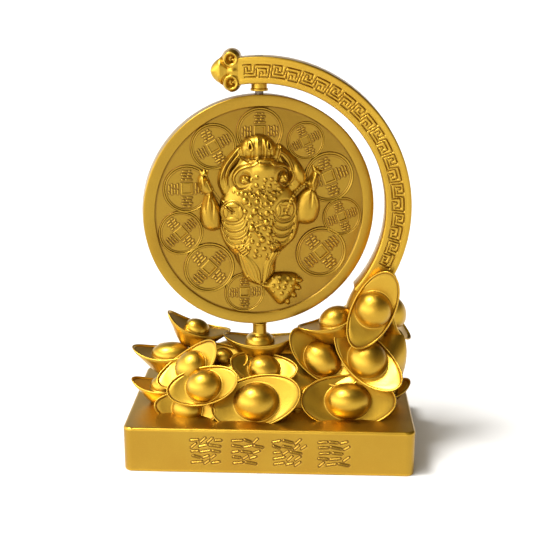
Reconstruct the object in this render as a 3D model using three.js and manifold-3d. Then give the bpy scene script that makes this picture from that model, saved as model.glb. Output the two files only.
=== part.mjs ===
// A desk ornament in cast, gold-painted resin: a round medallion with a money toad in relief turns
// on an upright axis between a curved arm and a heap of boat-shaped ingots on an oblong plinth.
//
// Millimetres, +Z up, the front faces -Y. The origin is the centre of the plinth's underside.

import * as THREE from 'three';
import { mergeVertices } from 'three/addons/utils/BufferGeometryUtils.js';
import Module from 'manifold-3d';

const wasm = await Module();
wasm.setup();
const { Manifold } = wasm;

// Plinth: an oblong block with rounded upright corners and a softened top edge.
const PLINTH_W = 128;
const PLINTH_D = 74;
const PLINTH_H = 20.6;
const PLINTH_CORNER = 4;
const PLINTH_EDGE = 1.2;

// The upright axis that the medallion turns on.
const AXIS_X = -5.5;
const DISC_Z = 110;
const DISC_TURN = THREE.MathUtils.degToRad(12.5);

// Medallion: a raised rim round a slightly sunk field.
const DISC_R = 51.7;
const DISC_HALF = 3.75;
const RIM_INNER_R = 46.6;
const RIM_BEVEL = 1.0;
const FIELD = 3.15;

// Pivots: a steel pin through the arm at the top and a spigot on the stem at the bottom.
const PIN_R = 1.85;
const BORE_R = 1.95;
const BORE_DEPTH = 6.5;
const PIVOT_GAP = 0.4;
const STEM_R = 3.35;
const SLEEVE_R = 3.45;
const SLEEVE_LIP_R = 3.85;
const SLEEVE_Z = 163.1;

// Arm: a band of one width bent to an arc in the XZ plane.
const ARM_CX = -5;
const ARM_CZ = 111.4;
const ARM_INNER_R = 55.1;
const ARM_OUTER_R = 66.5;
const ARM_DEPTH = 12;
const ARM_BEVEL = 0.9;
const ARM_TIP_ANGLE = THREE.MathUtils.degToRad(99);
const ARM_ROOT_ANGLE = THREE.MathUtils.degToRad(-40);

// Key pattern along the arm's front face.
const KEY_COUNT = 20;
const KEY_START_ANGLE = THREE.MathUtils.degToRad(96.3);
const KEY_PITCH_ANGLE = THREE.MathUtils.degToRad(5.95);
const KEY_BAND = 5.6;
const KEY_LINE = 0.95;
const KEY_RAISE = 0.5;

// Ingot, as fractions of its half length.
const INGOT_HALF_WIDTH = 0.52;
const INGOT_RISE = 0.27;
const INGOT_DEPTH = 0.55;
const INGOT_BALL = 0.46;
const INGOT_BALL_LIFT = 0.08;
const INGOT_BALL_HEIGHT = 0.76;

// Slivers left where lumps meet are cleaned away below this size.
const SLIVER = 0.12;

const gold = new THREE.MeshStandardMaterial({ color: 0xb8912c, roughness: 0.42, metalness: 0.85 });
const goldDisc = new THREE.MeshStandardMaterial({ color: 0xb08a2a, roughness: 0.42, metalness: 0.85 });
const steel = new THREE.MeshStandardMaterial({ color: 0x6b665e, roughness: 0.25, metalness: 1.0 });

// Turns a three.js geometry into a solid: only positions, shared corners merged, slivers dropped.
function solid(geometry, matrix = new THREE.Matrix4()) {
  const bare = geometry.clone();
  bare.deleteAttribute('normal');
  bare.deleteAttribute('uv');
  bare.applyMatrix4(matrix);
  const merged = mergeVertices(bare, 1e-4);
  const index = Array.from(merged.index.array);
  const kept = [];
  for (let i = 0; i < index.length; i += 3) {
    const [a, b, c] = index.slice(i, i + 3);
    if (a !== b && b !== c && c !== a) kept.push(a, b, c);
  }
  return new Manifold(new wasm.Mesh({
    numProp: 3,
    vertProperties: new Float32Array(merged.attributes.position.array),
    triVerts: new Uint32Array(kept),
  }));
}

function join(solids) {
  return solids.reduce((whole, piece) => whole.add(piece));
}

// The outermost closed skin of a casting: the pockets left between its lumps are solid inside.
function filled(shape) {
  const { vertProperties, triVerts } = shape.getMesh();
  const leader = Array.from({ length: vertProperties.length / 3 }, (_, i) => i);
  const find = (i) => {
    let root = i;
    while (leader[root] !== root) root = leader[root];
    leader[i] = root;
    return root;
  };
  for (let i = 0; i < triVerts.length; i += 3) {
    leader[find(triVerts[i + 1])] = find(triVerts[i]);
    leader[find(triVerts[i + 2])] = find(triVerts[i]);
  }
  const corner = (i) => new THREE.Vector3().fromArray(vertProperties, 3 * triVerts[i]);
  const volumes = new Map();
  for (let i = 0; i < triVerts.length; i += 3) {
    const part = find(triVerts[i]);
    const wedge = corner(i).dot(corner(i + 1).cross(corner(i + 2))) / 6;
    volumes.set(part, (volumes.get(part) ?? 0) + wedge);
  }
  const outer = [...volumes].reduce((best, entry) => (entry[1] > best[1] ? entry : best))[0];
  const kept = [];
  for (let i = 0; i < triVerts.length; i += 3) {
    if (find(triVerts[i]) === outer) kept.push(triVerts[i], triVerts[i + 1], triVerts[i + 2]);
  }
  const geometry = new THREE.BufferGeometry();
  geometry.setAttribute('position', new THREE.Float32BufferAttribute(vertProperties, 3));
  geometry.setIndex(kept);
  return solid(geometry);
}

function meshOf(name, shape, material) {
  const { vertProperties, triVerts } = shape.getMesh();
  const geometry = new THREE.BufferGeometry();
  geometry.setAttribute('position', new THREE.BufferAttribute(new Float32Array(vertProperties), 3));
  geometry.setIndex(new THREE.BufferAttribute(new Uint32Array(triVerts), 1));
  geometry.computeVertexNormals();
  const mesh = new THREE.Mesh(geometry, material);
  mesh.name = name;
  return mesh;
}

function moved(x, y, z) {
  return new THREE.Matrix4().makeTranslation(x, y, z);
}

// A closed skin through a stack of rings, each a function of the angle giving [x, y, z].
function skin(rings, bottom, top, count) {
  const points = [];
  for (const ring of rings) {
    for (let j = 0; j < count; j += 1) points.push(...ring((2 * Math.PI * j) / count));
  }
  points.push(...bottom, ...top);
  const bottomIndex = rings.length * count;
  const topIndex = bottomIndex + 1;
  const faces = [];
  for (let j = 0; j < count; j += 1) {
    const next = (j + 1) % count;
    for (let i = 0; i + 1 < rings.length; i += 1) {
      const low = i * count;
      const high = low + count;
      faces.push(low + j, low + next, high + next, low + j, high + next, high + j);
    }
    const last = (rings.length - 1) * count;
    faces.push(bottomIndex, next, j, last + j, last + next, topIndex);
  }
  const geometry = new THREE.BufferGeometry();
  geometry.setAttribute('position', new THREE.Float32BufferAttribute(points, 3));
  geometry.setIndex(faces);
  return geometry;
}

// A round section turned about Z from [radius, height] pairs that start and end on the axis.
function turned(profile, segments) {
  const points = profile.map(([r, z]) => new THREE.Vector2(r, z));
  const geometry = new THREE.LatheGeometry(points, segments);
  geometry.rotateX(Math.PI / 2);
  return geometry;
}

// A boat-shaped ingot about its own face: long side along X, face up, tips raised, a ball in it.
function ingot(half, segments, hullShows, ballSize) {
  const ellipse = (a, b, lift) => (t) => {
    const x = a * half * Math.cos(t);
    const y = b * half * Math.sin(t);
    return [x, y, lift(Math.cos(t) ** 2) * half];
  };
  const foot = ellipse(0.42, 0.30, () => -INGOT_DEPTH);
  const belly = ellipse(0.78, 0.45, (c) => -0.22 + 0.14 * c);
  const rim = ellipse(1.0, INGOT_HALF_WIDTH, (c) => INGOT_RISE * c);
  const rings = hullShows ? [foot, belly, rim] : [foot, rim];
  const hull = skin(rings, [0, 0, -INGOT_DEPTH * half], [0, 0, -0.03 * half], segments);
  let shape = solid(hull);
  if (ballSize > 0) {
    const radius = ballSize * half;
    const dome = [[0, -0.4]];
    for (const angle of [0, 35, 65]) {
      const a = THREE.MathUtils.degToRad(angle);
      dome.push([Math.cos(a), Math.sin(a)]);
    }
    dome.push([0, 1]);
    const profile = dome.map(([r, z]) => [
      r * radius,
      INGOT_BALL_LIFT * half + z * INGOT_BALL_HEIGHT * radius,
    ]);
    const around = segments < 14 ? 8 : 10;
    shape = shape.add(solid(turned(profile, around)));
  }
  return shape;
}

// Placement of an ingot: its face looks towards the azimuth (0 is the front, + is right) and the
// elevation (90 is straight up), and its long side is rolled in the plane of the face.
function facing(x, y, z, azimuth, elevation, roll) {
  const a = THREE.MathUtils.degToRad(azimuth);
  const e = THREE.MathUtils.degToRad(elevation);
  const r = THREE.MathUtils.degToRad(roll);
  const normal = new THREE.Vector3(Math.sin(a) * Math.cos(e), -Math.cos(a) * Math.cos(e), Math.sin(e));
  const level = new THREE.Vector3(Math.cos(a), Math.sin(a), 0);
  const upward = new THREE.Vector3().crossVectors(normal, level);
  const long = level.multiplyScalar(Math.cos(r)).addScaledVector(upward, Math.sin(r));
  const wide = new THREE.Vector3().crossVectors(normal, long);
  return new THREE.Matrix4().makeBasis(long, wide, normal).setPosition(x, y, z);
}

function heapOfIngots() {
  // the face's centre, half length, and azimuth, elevation and roll; hull where its side shows
  const places = [
    // front row
    { at: [-6.0, -23, 28.8], half: 20.5, look: [-6, 36, 19], segments: 14 },
    { at: [35.0, -20, 28.3], half: 21.5, look: [3, 32, 0], segments: 14 },
    { at: [-29.6, -21, 34.6], half: 16.6, look: [-12, 35, 17], segments: 12, ball: 0.49 },
    { at: [-37.4, -20, 22.5], half: 14.5, look: [-10, 20, -4], segments: 14 },
    { at: [12.2, -15, 18.8], half: 8.5, look: [0, 30, 0], segments: 8 },
    // left side, up to the free boat at the top left
    { at: [-36.4, -11, 39.8], half: 16.5, look: [-28, 36, 46], segments: 10 },
    { at: [-34.7, 6, 52.7], half: 14.5, look: [12, 80, -17], segments: 12, hull: true },
    { at: [-46.2, 2, 40.8], half: 17.0, look: [-12, 78, 10], segments: 10, hull: true },
    { at: [-49.9, -8, 27.5], half: 14.5, look: [-14, 76, 10], segments: 14, hull: true },
    // middle
    { at: [-3.0, -10, 39.0], half: 15.5, look: [0, 45, -4], segments: 12 },
    { at: [-22.3, -4, 41.8], half: 12.5, look: [-5, 40, -12], segments: 10, ball: 0.38 },
    { at: [22.6, -8, 42.4], half: 17.0, look: [8, 36, -42], segments: 10 },
    // right side, up to the ingot that stands against the arm's foot
    { at: [28.3, -4, 57.4], half: 19.3, look: [8, 84, 38], segments: 12, hull: true, ball: 0.41 },
    { at: [45.7, -10, 67.7], half: 18.6, look: [-8, 14, 67], segments: 14 },
    { at: [43.6, -13, 45.2], half: 19.5, look: [0, 38, -47], segments: 14 },
    { at: [56.5, 8, 60.6], half: 16.5, look: [85, 15, -69], segments: 14, hull: true },
    { at: [52.6, 4, 35.8], half: 18.0, look: [165, 5, -75], segments: 12, hull: true },
    { at: [52.6, -3, 26.3], half: 12.5, look: [12, 74, 10], segments: 10, hull: true },
    // back row, plainer and more regular
    { at: [-38.0, 20, 34.0], half: 18.0, look: [196, 38, 8], segments: 8 },
    { at: [-10.0, 22, 33.0], half: 19.0, look: [178, 40, -8], segments: 8 },
    { at: [18.0, 21, 31.0], half: 18.0, look: [176, 34, 10], segments: 8 },
    { at: [45.0, 20, 31.0], half: 18.0, look: [168, 36, -8], segments: 8 },
    { at: [38.0, 17, 46.0], half: 16.5, look: [168, 44, 12], segments: 8 },
  ];
  const pieces = places.map(({ at, half, look, segments, hull = false, ball = INGOT_BALL }) => (
    ingot(half, segments, hull, ball).transform(facing(...at, ...look).elements)
  ));
  // the boat under the stem has the stem's flared foot in place of its ball
  pieces.push(ingot(17, 12, true, 0).transform(facing(AXIS_X, 0, 48.7, 0, 90, 0).elements));
  // the solid mass inside the heap
  const mound = (x, y, z, a, b, c) => {
    const lump = new THREE.SphereGeometry(1, 8, 5);
    lump.scale(a, b, c);
    return solid(lump, moved(x, y, z));
  };
  pieces.push(mound(-2, 3, 22, 50, 19, 20));
  pieces.push(mound(-32, 4, 24, 20, 16, 20));
  pieces.push(mound(36, 4, 30, 20, 15, 26));
  pieces.push(mound(-4, 9, 35, 30, 9, 12.5));
  // the arm's root, behind the ingot that stands on end
  const root = new THREE.SphereGeometry(1, 8, 5);
  root.scale(19.5, 10.3, 8);
  pieces.push(solid(root, facing(45, 2, 66, -8, 14, 67)));
  return pieces;
}

function plinth() {
  const w = PLINTH_W / 2 - PLINTH_EDGE;
  const d = PLINTH_D / 2 - PLINTH_EDGE;
  const r = PLINTH_CORNER - PLINTH_EDGE;
  const outline = new THREE.Shape();
  outline.moveTo(-w + r, -d);
  outline.lineTo(w - r, -d);
  outline.absarc(w - r, -d + r, r, -Math.PI / 2, 0);
  outline.absarc(w - r, d - r, r, 0, Math.PI / 2);
  outline.absarc(-w + r, d - r, r, Math.PI / 2, Math.PI);
  outline.absarc(-w + r, -d + r, r, Math.PI, 1.5 * Math.PI);
  const block = new THREE.ExtrudeGeometry(outline, {
    depth: PLINTH_H,
    bevelEnabled: true,
    bevelSize: PLINTH_EDGE,
    bevelThickness: PLINTH_EDGE,
    bevelSegments: 2,
    curveSegments: 2,
  });
  const below = new THREE.BoxGeometry(2 * PLINTH_W, 2 * PLINTH_D, 20);
  return solid(block, moved(0, 0, -PLINTH_EDGE)).subtract(solid(below, moved(0, 0, -10)));
}

function arm() {
  const outline = new THREE.Shape();
  outline.absarc(0, 0, ARM_OUTER_R - ARM_BEVEL, ARM_ROOT_ANGLE, ARM_TIP_ANGLE, false);
  outline.absarc(0, 0, ARM_INNER_R + ARM_BEVEL, ARM_TIP_ANGLE, ARM_ROOT_ANGLE, true);
  const band = new THREE.ExtrudeGeometry(outline, {
    depth: ARM_DEPTH - 2 * ARM_BEVEL,
    bevelEnabled: true,
    bevelSize: ARM_BEVEL,
    bevelThickness: ARM_BEVEL,
    bevelSegments: 1,
    curveSegments: 9,
  });
  band.translate(0, 0, -ARM_DEPTH / 2 + ARM_BEVEL);
  band.rotateX(Math.PI / 2);
  return solid(band, moved(ARM_CX, 0, ARM_CZ));
}

// The key pattern: squared spirals, raised from the arm's front face, every other one upside down.
function keyPattern() {
  const middle = (ARM_INNER_R + ARM_OUTER_R) / 2;
  const half = KEY_BAND / 2;
  const side = (KEY_PITCH_ANGLE * middle) / 2;
  const keys = [];
  for (let i = 0; i < KEY_COUNT; i += 1) {
    const flip = i % 2 === 0 ? 1 : -1;
    // outline of one spiral: along the outside, then back along the inside, one line wide
    const right = side - KEY_LINE - 0.25;
    const corners = [
      [-side, -half],
      [side, -half],
      [side, -half + KEY_LINE],
      [-side + KEY_LINE, -half + KEY_LINE],
      [-side + KEY_LINE, half - KEY_LINE],
      [right - KEY_LINE, half - KEY_LINE],
      [right - KEY_LINE, -0.5],
      [right, -0.5],
      [right, half],
      [-side, half],
    ];
    const points = corners.map(([x, z]) => new THREE.Vector2(x, z * flip));
    if (flip < 0) points.reverse();
    const raised = new THREE.ExtrudeGeometry(new THREE.Shape(points), {
      depth: 2 * KEY_RAISE,
      bevelEnabled: false,
    });
    raised.rotateX(Math.PI / 2);
    const angle = KEY_START_ANGLE - (i + 0.5) * KEY_PITCH_ANGLE;
    const place = moved(ARM_CX, -ARM_DEPTH / 2 + KEY_RAISE, ARM_CZ)
      .multiply(new THREE.Matrix4().makeRotationY(Math.PI / 2 - angle))
      .multiply(moved(0, 0, middle));
    keys.push(solid(raised, place));
  }
  return keys;
}

// The cloud-shaped finial at the arm's free end: a pointed middle lobe between two curled lobes.
function finial() {
  const lobe = (x, z, a, c, depth) => {
    const ball = new THREE.SphereGeometry(1, 10, 5);
    ball.scale(a, depth, c);
    return solid(ball, moved(x, 0, z));
  };
  return [
    lobe(-16.8, 177.0, 4.6, 4.5, 7.2),
    lobe(-16.8, 168.0, 4.6, 4.5, 7.2),
    lobe(-20.1, 172.4, 5.0, 6.0, 6.6),
  ];
}

function sleeve() {
  const top = ARM_CZ + ARM_INNER_R + 1.5;
  return solid(turned([
    [0, SLEEVE_Z],
    [SLEEVE_LIP_R, SLEEVE_Z],
    [SLEEVE_LIP_R, SLEEVE_Z + 0.8],
    [SLEEVE_R, SLEEVE_Z + 1.1],
    [SLEEVE_R, top],
    [0, top],
  ], 16), moved(AXIS_X, 0, 0));
}

// The stem under the medallion: a flared foot, a round neck and the spigot it turns on.
function stem() {
  const neckTop = DISC_Z - DISC_R - PIVOT_GAP;
  return solid(turned([
    [0, 44],
    [8.3, 46.5],
    [8.2, 49.3],
    [5.2, 51.6],
    [STEM_R, 54.6],
    [STEM_R, neckTop],
    [PIN_R, neckTop],
    [PIN_R, neckTop + 5.5],
    [0, neckTop + 5.5],
  ], 16), moved(AXIS_X, 0, 0));
}

function castBase() {
  const bore = new THREE.CylinderGeometry(BORE_R, BORE_R, 24, 16);
  bore.rotateX(Math.PI / 2);
  const pieces = [plinth(), ...heapOfIngots(), stem(), arm(), sleeve(), ...finial(), ...keyPattern()];
  return filled(join(pieces)).simplify(SLIVER).subtract(solid(bore, moved(AXIS_X, 0, 172)));
}

function pin() {
  const low = DISC_Z + DISC_R - BORE_DEPTH + 0.6;
  const high = ARM_CZ + ARM_OUTER_R + 0.1;
  return solid(turned([
    [0, low],
    [PIN_R, low],
    [PIN_R, high],
    [0, high],
  ], 16));
}

// Relief on the medallion is placed by u (right), v (up) and w (out of the face).
function lump(u, v, w, ru, rv, rw, turn = 0, across = 14, along = 9) {
  const ball = new THREE.SphereGeometry(1, across, along);
  ball.rotateX(Math.PI / 2);
  ball.scale(ru, rw, rv);
  const place = moved(u, -w, v)
    .multiply(new THREE.Matrix4().makeRotationY(-THREE.MathUtils.degToRad(turn)));
  return solid(ball, place);
}

function toad() {
  const F = FIELD;
  const pieces = [
    lump(0.2, 17.0, F, 18.8, 14.2, 5.0, 0, 12, 4),
    lump(-0.8, 17.5, F, 14.2, 12.2, 8.2, 0, 12, 6),
    lump(-0.8, 29.4, F + 3.2, 8.4, 5.6, 5.6, 0, 12, 6),
    lump(-9.4, 17.6, F + 5.2, 4.2, 4.2, 3.6, 0, 8, 4),
    lump(8.8, 17.4, F + 5.2, 4.2, 4.2, 3.6, 0, 8, 4),
    lump(-1.2, -3.5, F, 17.4, 18.5, 8.4, 0, 12, 6),
    lump(-0.8, -19.5, F, 9.4, 13.2, 5.6, 0, 10, 4),
    lump(-21.4, 2.4, F, 4.7, 9.6, 4.6, -5, 10, 4),
    lump(20.6, 2.4, F, 4.7, 9.6, 4.6, 5, 10, 4),
    lump(-24.6, 14.7, F, 2.4, 5.6, 3.4, 18, 8, 4),
    lump(24.1, 14.2, F, 2.4, 5.6, 3.4, -20, 8, 4),
    lump(8.6, -18.6, F, 3.8, 8.6, 4.4, -24, 8, 4),
    lump(10.2, -34.6, F, 9.4, 6.2, 4.2, -24, 12, 4),
  ];
  const toes = [[18.6, -31.6], [18.4, -35.4], [16.4, -38.8], [13.2, -41.4], [9.4, -42.0]];
  for (const [u, v] of toes) pieces.push(lump(u, v, F, 1.7, 1.7, 2.4, 0, 6, 4));
  // the strings of coins that lie down both flanks
  for (const [side, lean] of [[-13.2, 1.2], [10.0, -1.0]]) {
    for (const step of [0, 1]) {
      const disc = new THREE.CylinderGeometry(5.2, 5.2, 8.4 - 0.8 * step, 12);
      pieces.push(solid(disc, moved(side + lean * step, -F - 3.6 + 0.4 * step, 3.3 - 8 * step)));
    }
  }
  return pieces;
}

// A round coin with a square hole, raised a little from the field.
function coin(u, v, radius, turn, front = true) {
  const round = new THREE.CylinderGeometry(radius, radius, 1.6, 12);
  const hole = new THREE.BoxGeometry(0.38 * radius, 4, 0.38 * radius);
  const outward = front ? -1 : 1;
  const place = moved(u, outward * FIELD, v)
    .multiply(new THREE.Matrix4().makeRotationY(-THREE.MathUtils.degToRad(turn)));
  return solid(round, place).subtract(solid(hole, place.clone().multiply(moved(0, outward * 2.35, 0))));
}

function medallion() {
  const rim = DISC_R - RIM_BEVEL;
  const step = DISC_HALF - RIM_BEVEL;
  const plate = new THREE.LatheGeometry([
    [0, -FIELD],
    [RIM_INNER_R, -FIELD],
    [RIM_INNER_R, -DISC_HALF],
    [rim, -DISC_HALF],
    [DISC_R, -step],
    [DISC_R, step],
    [rim, DISC_HALF],
    [RIM_INNER_R, DISC_HALF],
    [RIM_INNER_R, FIELD],
    [0, FIELD],
  ].map(([r, y]) => new THREE.Vector2(r, y)), 40);
  // ten coins round the toad, then one large plain coin on the back
  const coins = [
    coin(-0.4, 35.9, 10.3, 0),
    coin(-20.7, 29.8, 10.0, 28),
    coin(-32.5, 11.8, 10.4, 0),
    coin(-35.5, -7.7, 9.8, 40),
    coin(-23.3, -24.2, 11.3, 45),
    coin(-7.4, -36.4, 9.1, 0),
    coin(27.6, -19.3, 11.6, 40),
    coin(37.0, -3.3, 8.8, 20),
    coin(30.7, 14.9, 11.2, 20),
    coin(20.0, 31.3, 8.4, 25),
    coin(0, 0, 24, 0, false),
  ];
  const bore = new THREE.CylinderGeometry(BORE_R, BORE_R, BORE_DEPTH + 2, 16);
  bore.rotateX(Math.PI / 2);
  const reach = DISC_R - BORE_DEPTH / 2 + 1;
  return join([solid(plate), ...coins, ...toad()])
    .simplify(SLIVER)
    .subtract(solid(bore, moved(0, 0, reach)))
    .subtract(solid(bore, moved(0, 0, -reach)));
}

const ornament = new THREE.Group();

ornament.add(meshOf('cast_base', castBase(), gold));

const topPin = meshOf('top_pin', pin(), steel);
topPin.position.set(AXIS_X, 0, 0);
ornament.add(topPin);

const turning = new THREE.Group();
turning.position.set(AXIS_X, 0, DISC_Z);
turning.rotation.z = DISC_TURN;
turning.add(meshOf('medallion', medallion(), goldDisc));
ornament.add(turning);

export default ornament;
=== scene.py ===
# A desk ornament in cast, gold-painted resin: a medallion with a money toad in relief turns between
# a curved arm and a heap of boat-shaped ingots on an oblong plinth. Lengths are in millimetres here
# and become metres when a mesh is made. The front faces -Y.

import math

import bpy
import numpy as np
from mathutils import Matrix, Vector


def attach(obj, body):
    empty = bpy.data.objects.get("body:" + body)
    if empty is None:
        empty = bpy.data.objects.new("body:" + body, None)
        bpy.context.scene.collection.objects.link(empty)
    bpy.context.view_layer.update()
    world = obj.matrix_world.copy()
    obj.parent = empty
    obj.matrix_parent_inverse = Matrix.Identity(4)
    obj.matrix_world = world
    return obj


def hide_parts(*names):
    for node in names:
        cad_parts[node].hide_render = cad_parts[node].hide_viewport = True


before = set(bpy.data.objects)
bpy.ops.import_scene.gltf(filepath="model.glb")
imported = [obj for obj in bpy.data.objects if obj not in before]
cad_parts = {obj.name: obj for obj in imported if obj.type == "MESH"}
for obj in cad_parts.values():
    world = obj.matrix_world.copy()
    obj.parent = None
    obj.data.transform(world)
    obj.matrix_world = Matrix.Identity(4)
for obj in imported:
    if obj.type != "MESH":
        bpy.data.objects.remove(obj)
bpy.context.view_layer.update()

METRE = 0.001
# A distance past anything on the part.
FAR = 1e9

# The axis the medallion turns on, and the medallion.
AXIS_X = -5.5
DISC_Z = 110.0
DISC_TURN = math.radians(12.5)
DISC_R = 51.7
DISC_HALF = 3.75
RIM_INNER_R = 46.6
RIM_BEVEL = 1.0
FIELD = 3.15

# The plinth.
PLINTH_W = 128.0
PLINTH_D = 74.0
PLINTH_H = 20.6
PLINTH_CORNER = 4.0
PLINTH_EDGE = 1.2

# The arm, its sleeve and the pin through it.
ARM_CX = -5.0
ARM_CZ = 111.4
ARM_INNER_R = 55.1
ARM_OUTER_R = 66.5
ARM_DEPTH = 12.0
ARM_BEVEL = 0.9
ARM_TIP_ANGLE = 99.0
ARM_ROOT_ANGLE = -40.0
ARM_MID_R = (ARM_INNER_R + ARM_OUTER_R) / 2
SLEEVE_Z = 163.1
SLEEVE_R = 3.45
SLEEVE_LIP_R = 3.85
PIN_R = 1.85
STEM_R = 3.35
NECK_R = 3.2
PIVOT_GAP = 0.4

# The ingots, as fractions of their half length.
INGOT_WIDTH = 0.52
INGOT_RISE = 0.27
INGOT_DEPTH = 0.55
TIP_POWER = 2.2
# Half the thickness of an ingot's lip, in millimetres.
RIM_BEAD = 0.44


# Mesh building.

def make_mesh(name, points, faces, material, painted_shade=None, sharp=50.0):
    """Makes an object from points in millimetres, with smooth shading broken at sharp edges."""
    mesh = bpy.data.meshes.new(name)
    mesh.from_pydata((np.asarray(points, float) * METRE).tolist(), [], faces)
    # each point's painted shade goes into an attribute that the gold paint reads
    if painted_shade is not None:
        layer = mesh.attributes.new("painted_shade", "FLOAT", "POINT")
        layer.data.foreach_set("value", np.asarray(painted_shade, np.float32))
    mesh.validate()
    mesh.shade_smooth()
    mesh.set_sharp_from_angle(angle=math.radians(sharp))
    mesh.materials.append(material)
    thing = bpy.data.objects.new(name, mesh)
    bpy.context.scene.collection.objects.link(thing)
    return thing


class Casting:
    """Collects shells that are cast as one and become a single mesh."""

    def __init__(self):
        self.points = []
        self.faces = []
        self.painted_shade = []
        self.count = 0

    def add(self, points, faces, painted_shade=None):
        """Adds a shell."""
        self.points.append(points)
        self.faces += [[i + self.count for i in face] for face in faces]
        self.painted_shade.append(np.zeros(len(points)) if painted_shade is None else painted_shade)
        self.count += len(points)

    def make(self, name, material, sharp=50.0):
        """Makes one object of all the shells."""
        points = np.concatenate(self.points)
        painted_shade = np.concatenate(self.painted_shade)
        return make_mesh(name, points, self.faces, material, painted_shade, sharp)


def ring_faces(rows, columns):
    """Quads between rows of points, each row closed on itself."""
    i, j = np.meshgrid(np.arange(rows - 1), np.arange(columns), indexing="ij")
    k = (j + 1) % columns
    low = i * columns
    high = low + columns
    return np.stack([low + j, low + k, high + k, high + j], axis=-1).reshape(-1, 4)


def capped(rows, columns, flip=False):
    """Faces of a skin of closed rows, with a cap on the first row and on the last."""
    faces = ring_faces(rows, columns).tolist()
    faces.append(list(range(columns))[::-1])
    faces.append(list(range((rows - 1) * columns, rows * columns)))
    return [face[::-1] for face in faces] if flip else faces


def sheet_faces(rows, columns, keep):
    """Quads of an open sheet of points, only where keep is true."""
    i, j = np.meshgrid(np.arange(rows - 1), np.arange(columns - 1), indexing="ij")
    low = i * columns + j
    quads = np.stack([low, low + 1, low + columns + 1, low + columns], axis=-1)
    return quads[keep].reshape(-1, 4)


def packed(points, faces):
    """Drops the points that no face uses. Returns points, faces and the kept points' places."""
    used = np.unique(faces)
    place = np.full(len(points), -1)
    place[used] = np.arange(len(used))
    return points[used], place[faces], used


def full_turn(count):
    """Angles evenly round a circle."""
    return np.arange(count) * 2 * np.pi / count


def turned(profile, segments):
    """A closed skin turned about the medallion's axis from (radius, height) pairs, bottom first."""
    angle = full_turn(segments)
    profile = np.asarray(profile, float)
    x = AXIS_X + profile[:, :1] * np.cos(angle)
    y = profile[:, :1] * np.sin(angle)
    z = np.repeat(profile[:, 1:], segments, axis=1)
    points = np.stack([x, y, z], axis=-1).reshape(-1, 3)
    return points, capped(len(profile), segments)


def rounded(profile, radius):
    """Replaces each inner corner of a (radius, height) profile by a small arc."""
    profile = [np.array(p, float) for p in profile]
    out = [profile[0]]
    for before, corner, after in zip(profile, profile[1:], profile[2:]):
        back, on = before - corner, after - corner
        reach = min(radius, np.linalg.norm(back) / 2, np.linalg.norm(on) / 2)
        start = corner + back * reach / np.linalg.norm(back)
        end = corner + on * reach / np.linalg.norm(on)
        for s in np.linspace(0, 1, 4):
            out.append((1 - s) ** 2 * start + 2 * s * (1 - s) * corner + s ** 2 * end)
    out.append(profile[-1])
    return out


def facing(at, look):
    """Rows of long, wide and normal directions, and the place of an ingot's face."""
    azimuth, elevation, roll = (math.radians(v) for v in look)
    normal = np.array([
        math.sin(azimuth) * math.cos(elevation),
        -math.cos(azimuth) * math.cos(elevation),
        math.sin(elevation),
    ])
    level = np.array([math.cos(azimuth), math.sin(azimuth), 0.0])
    upward = np.cross(normal, level)
    along = level * math.cos(roll) + upward * math.sin(roll)
    wide = np.cross(normal, along)
    return np.array([along, wide, normal]), np.array(at, float)


def to_stroke(x, y, start, end):
    """Distance from points to a straight stroke, and how far along it the nearest place is."""
    dx, dy = end[0] - start[0], end[1] - start[1]
    share = ((x - start[0]) * dx + (y - start[1]) * dy) / max(dx * dx + dy * dy, 1e-12)
    share = np.clip(share, 0, 1)
    return np.hypot(x - start[0] - dx * share, y - start[1] - dy * share), share


def to_strokes(x, y, strokes):
    """Distance from points to the nearest of many straight strokes."""
    away = np.full(x.shape, FAR)
    for start, end in strokes:
        away = np.minimum(away, to_stroke(x, y, start, end)[0])
    return away


def smooth(x, low, high):
    """0 up to low, 1 from high on, and a smooth ramp between."""
    t = np.clip((x - low) / (high - low), 0.0, 1.0)
    return t * t * (3 - 2 * t)


def hump(x, middle, width):
    """A bell-shaped bump of height 1."""
    return np.exp(-((x - middle) / width) ** 2)


def soft_max(a, b, blend):
    """The larger of two, with the crease between them filled."""
    h = np.clip(0.5 + 0.5 * (a - b) / blend, 0.0, 1.0)
    return b + (a - b) * h + blend * h * (1 - h)


def soft_min(a, b, blend):
    """The smaller of two, with the edge between them rounded."""
    return -soft_max(-a, -b, blend)


def path(points, step=0.4):
    """A smooth curve through a few points: Catmull-Rom, sampled about every step."""
    points = np.asarray(points, float)
    if len(points) == 2:
        middle = points.mean(axis=0)
        points = np.array([points[0], middle, points[1]])
    ends = [2 * points[0] - points[1], *points, 2 * points[-1] - points[-2]]
    out = []
    for a, b, c, d in zip(ends, ends[1:], ends[2:], ends[3:]):
        count = max(2, int(np.linalg.norm(c[:2] - b[:2]) / step))
        for t in np.arange(count) / count:
            out.append(0.5 * (2 * b + (c - a) * t + (2 * a - 5 * b + 4 * c - d) * t ** 2
                              + (3 * b - a - 3 * c + d) * t ** 3))
    out.append(points[-1])
    return np.array(out)


# The relief on the medallion is a height over the plate's face, carved on a fine grid.

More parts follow.
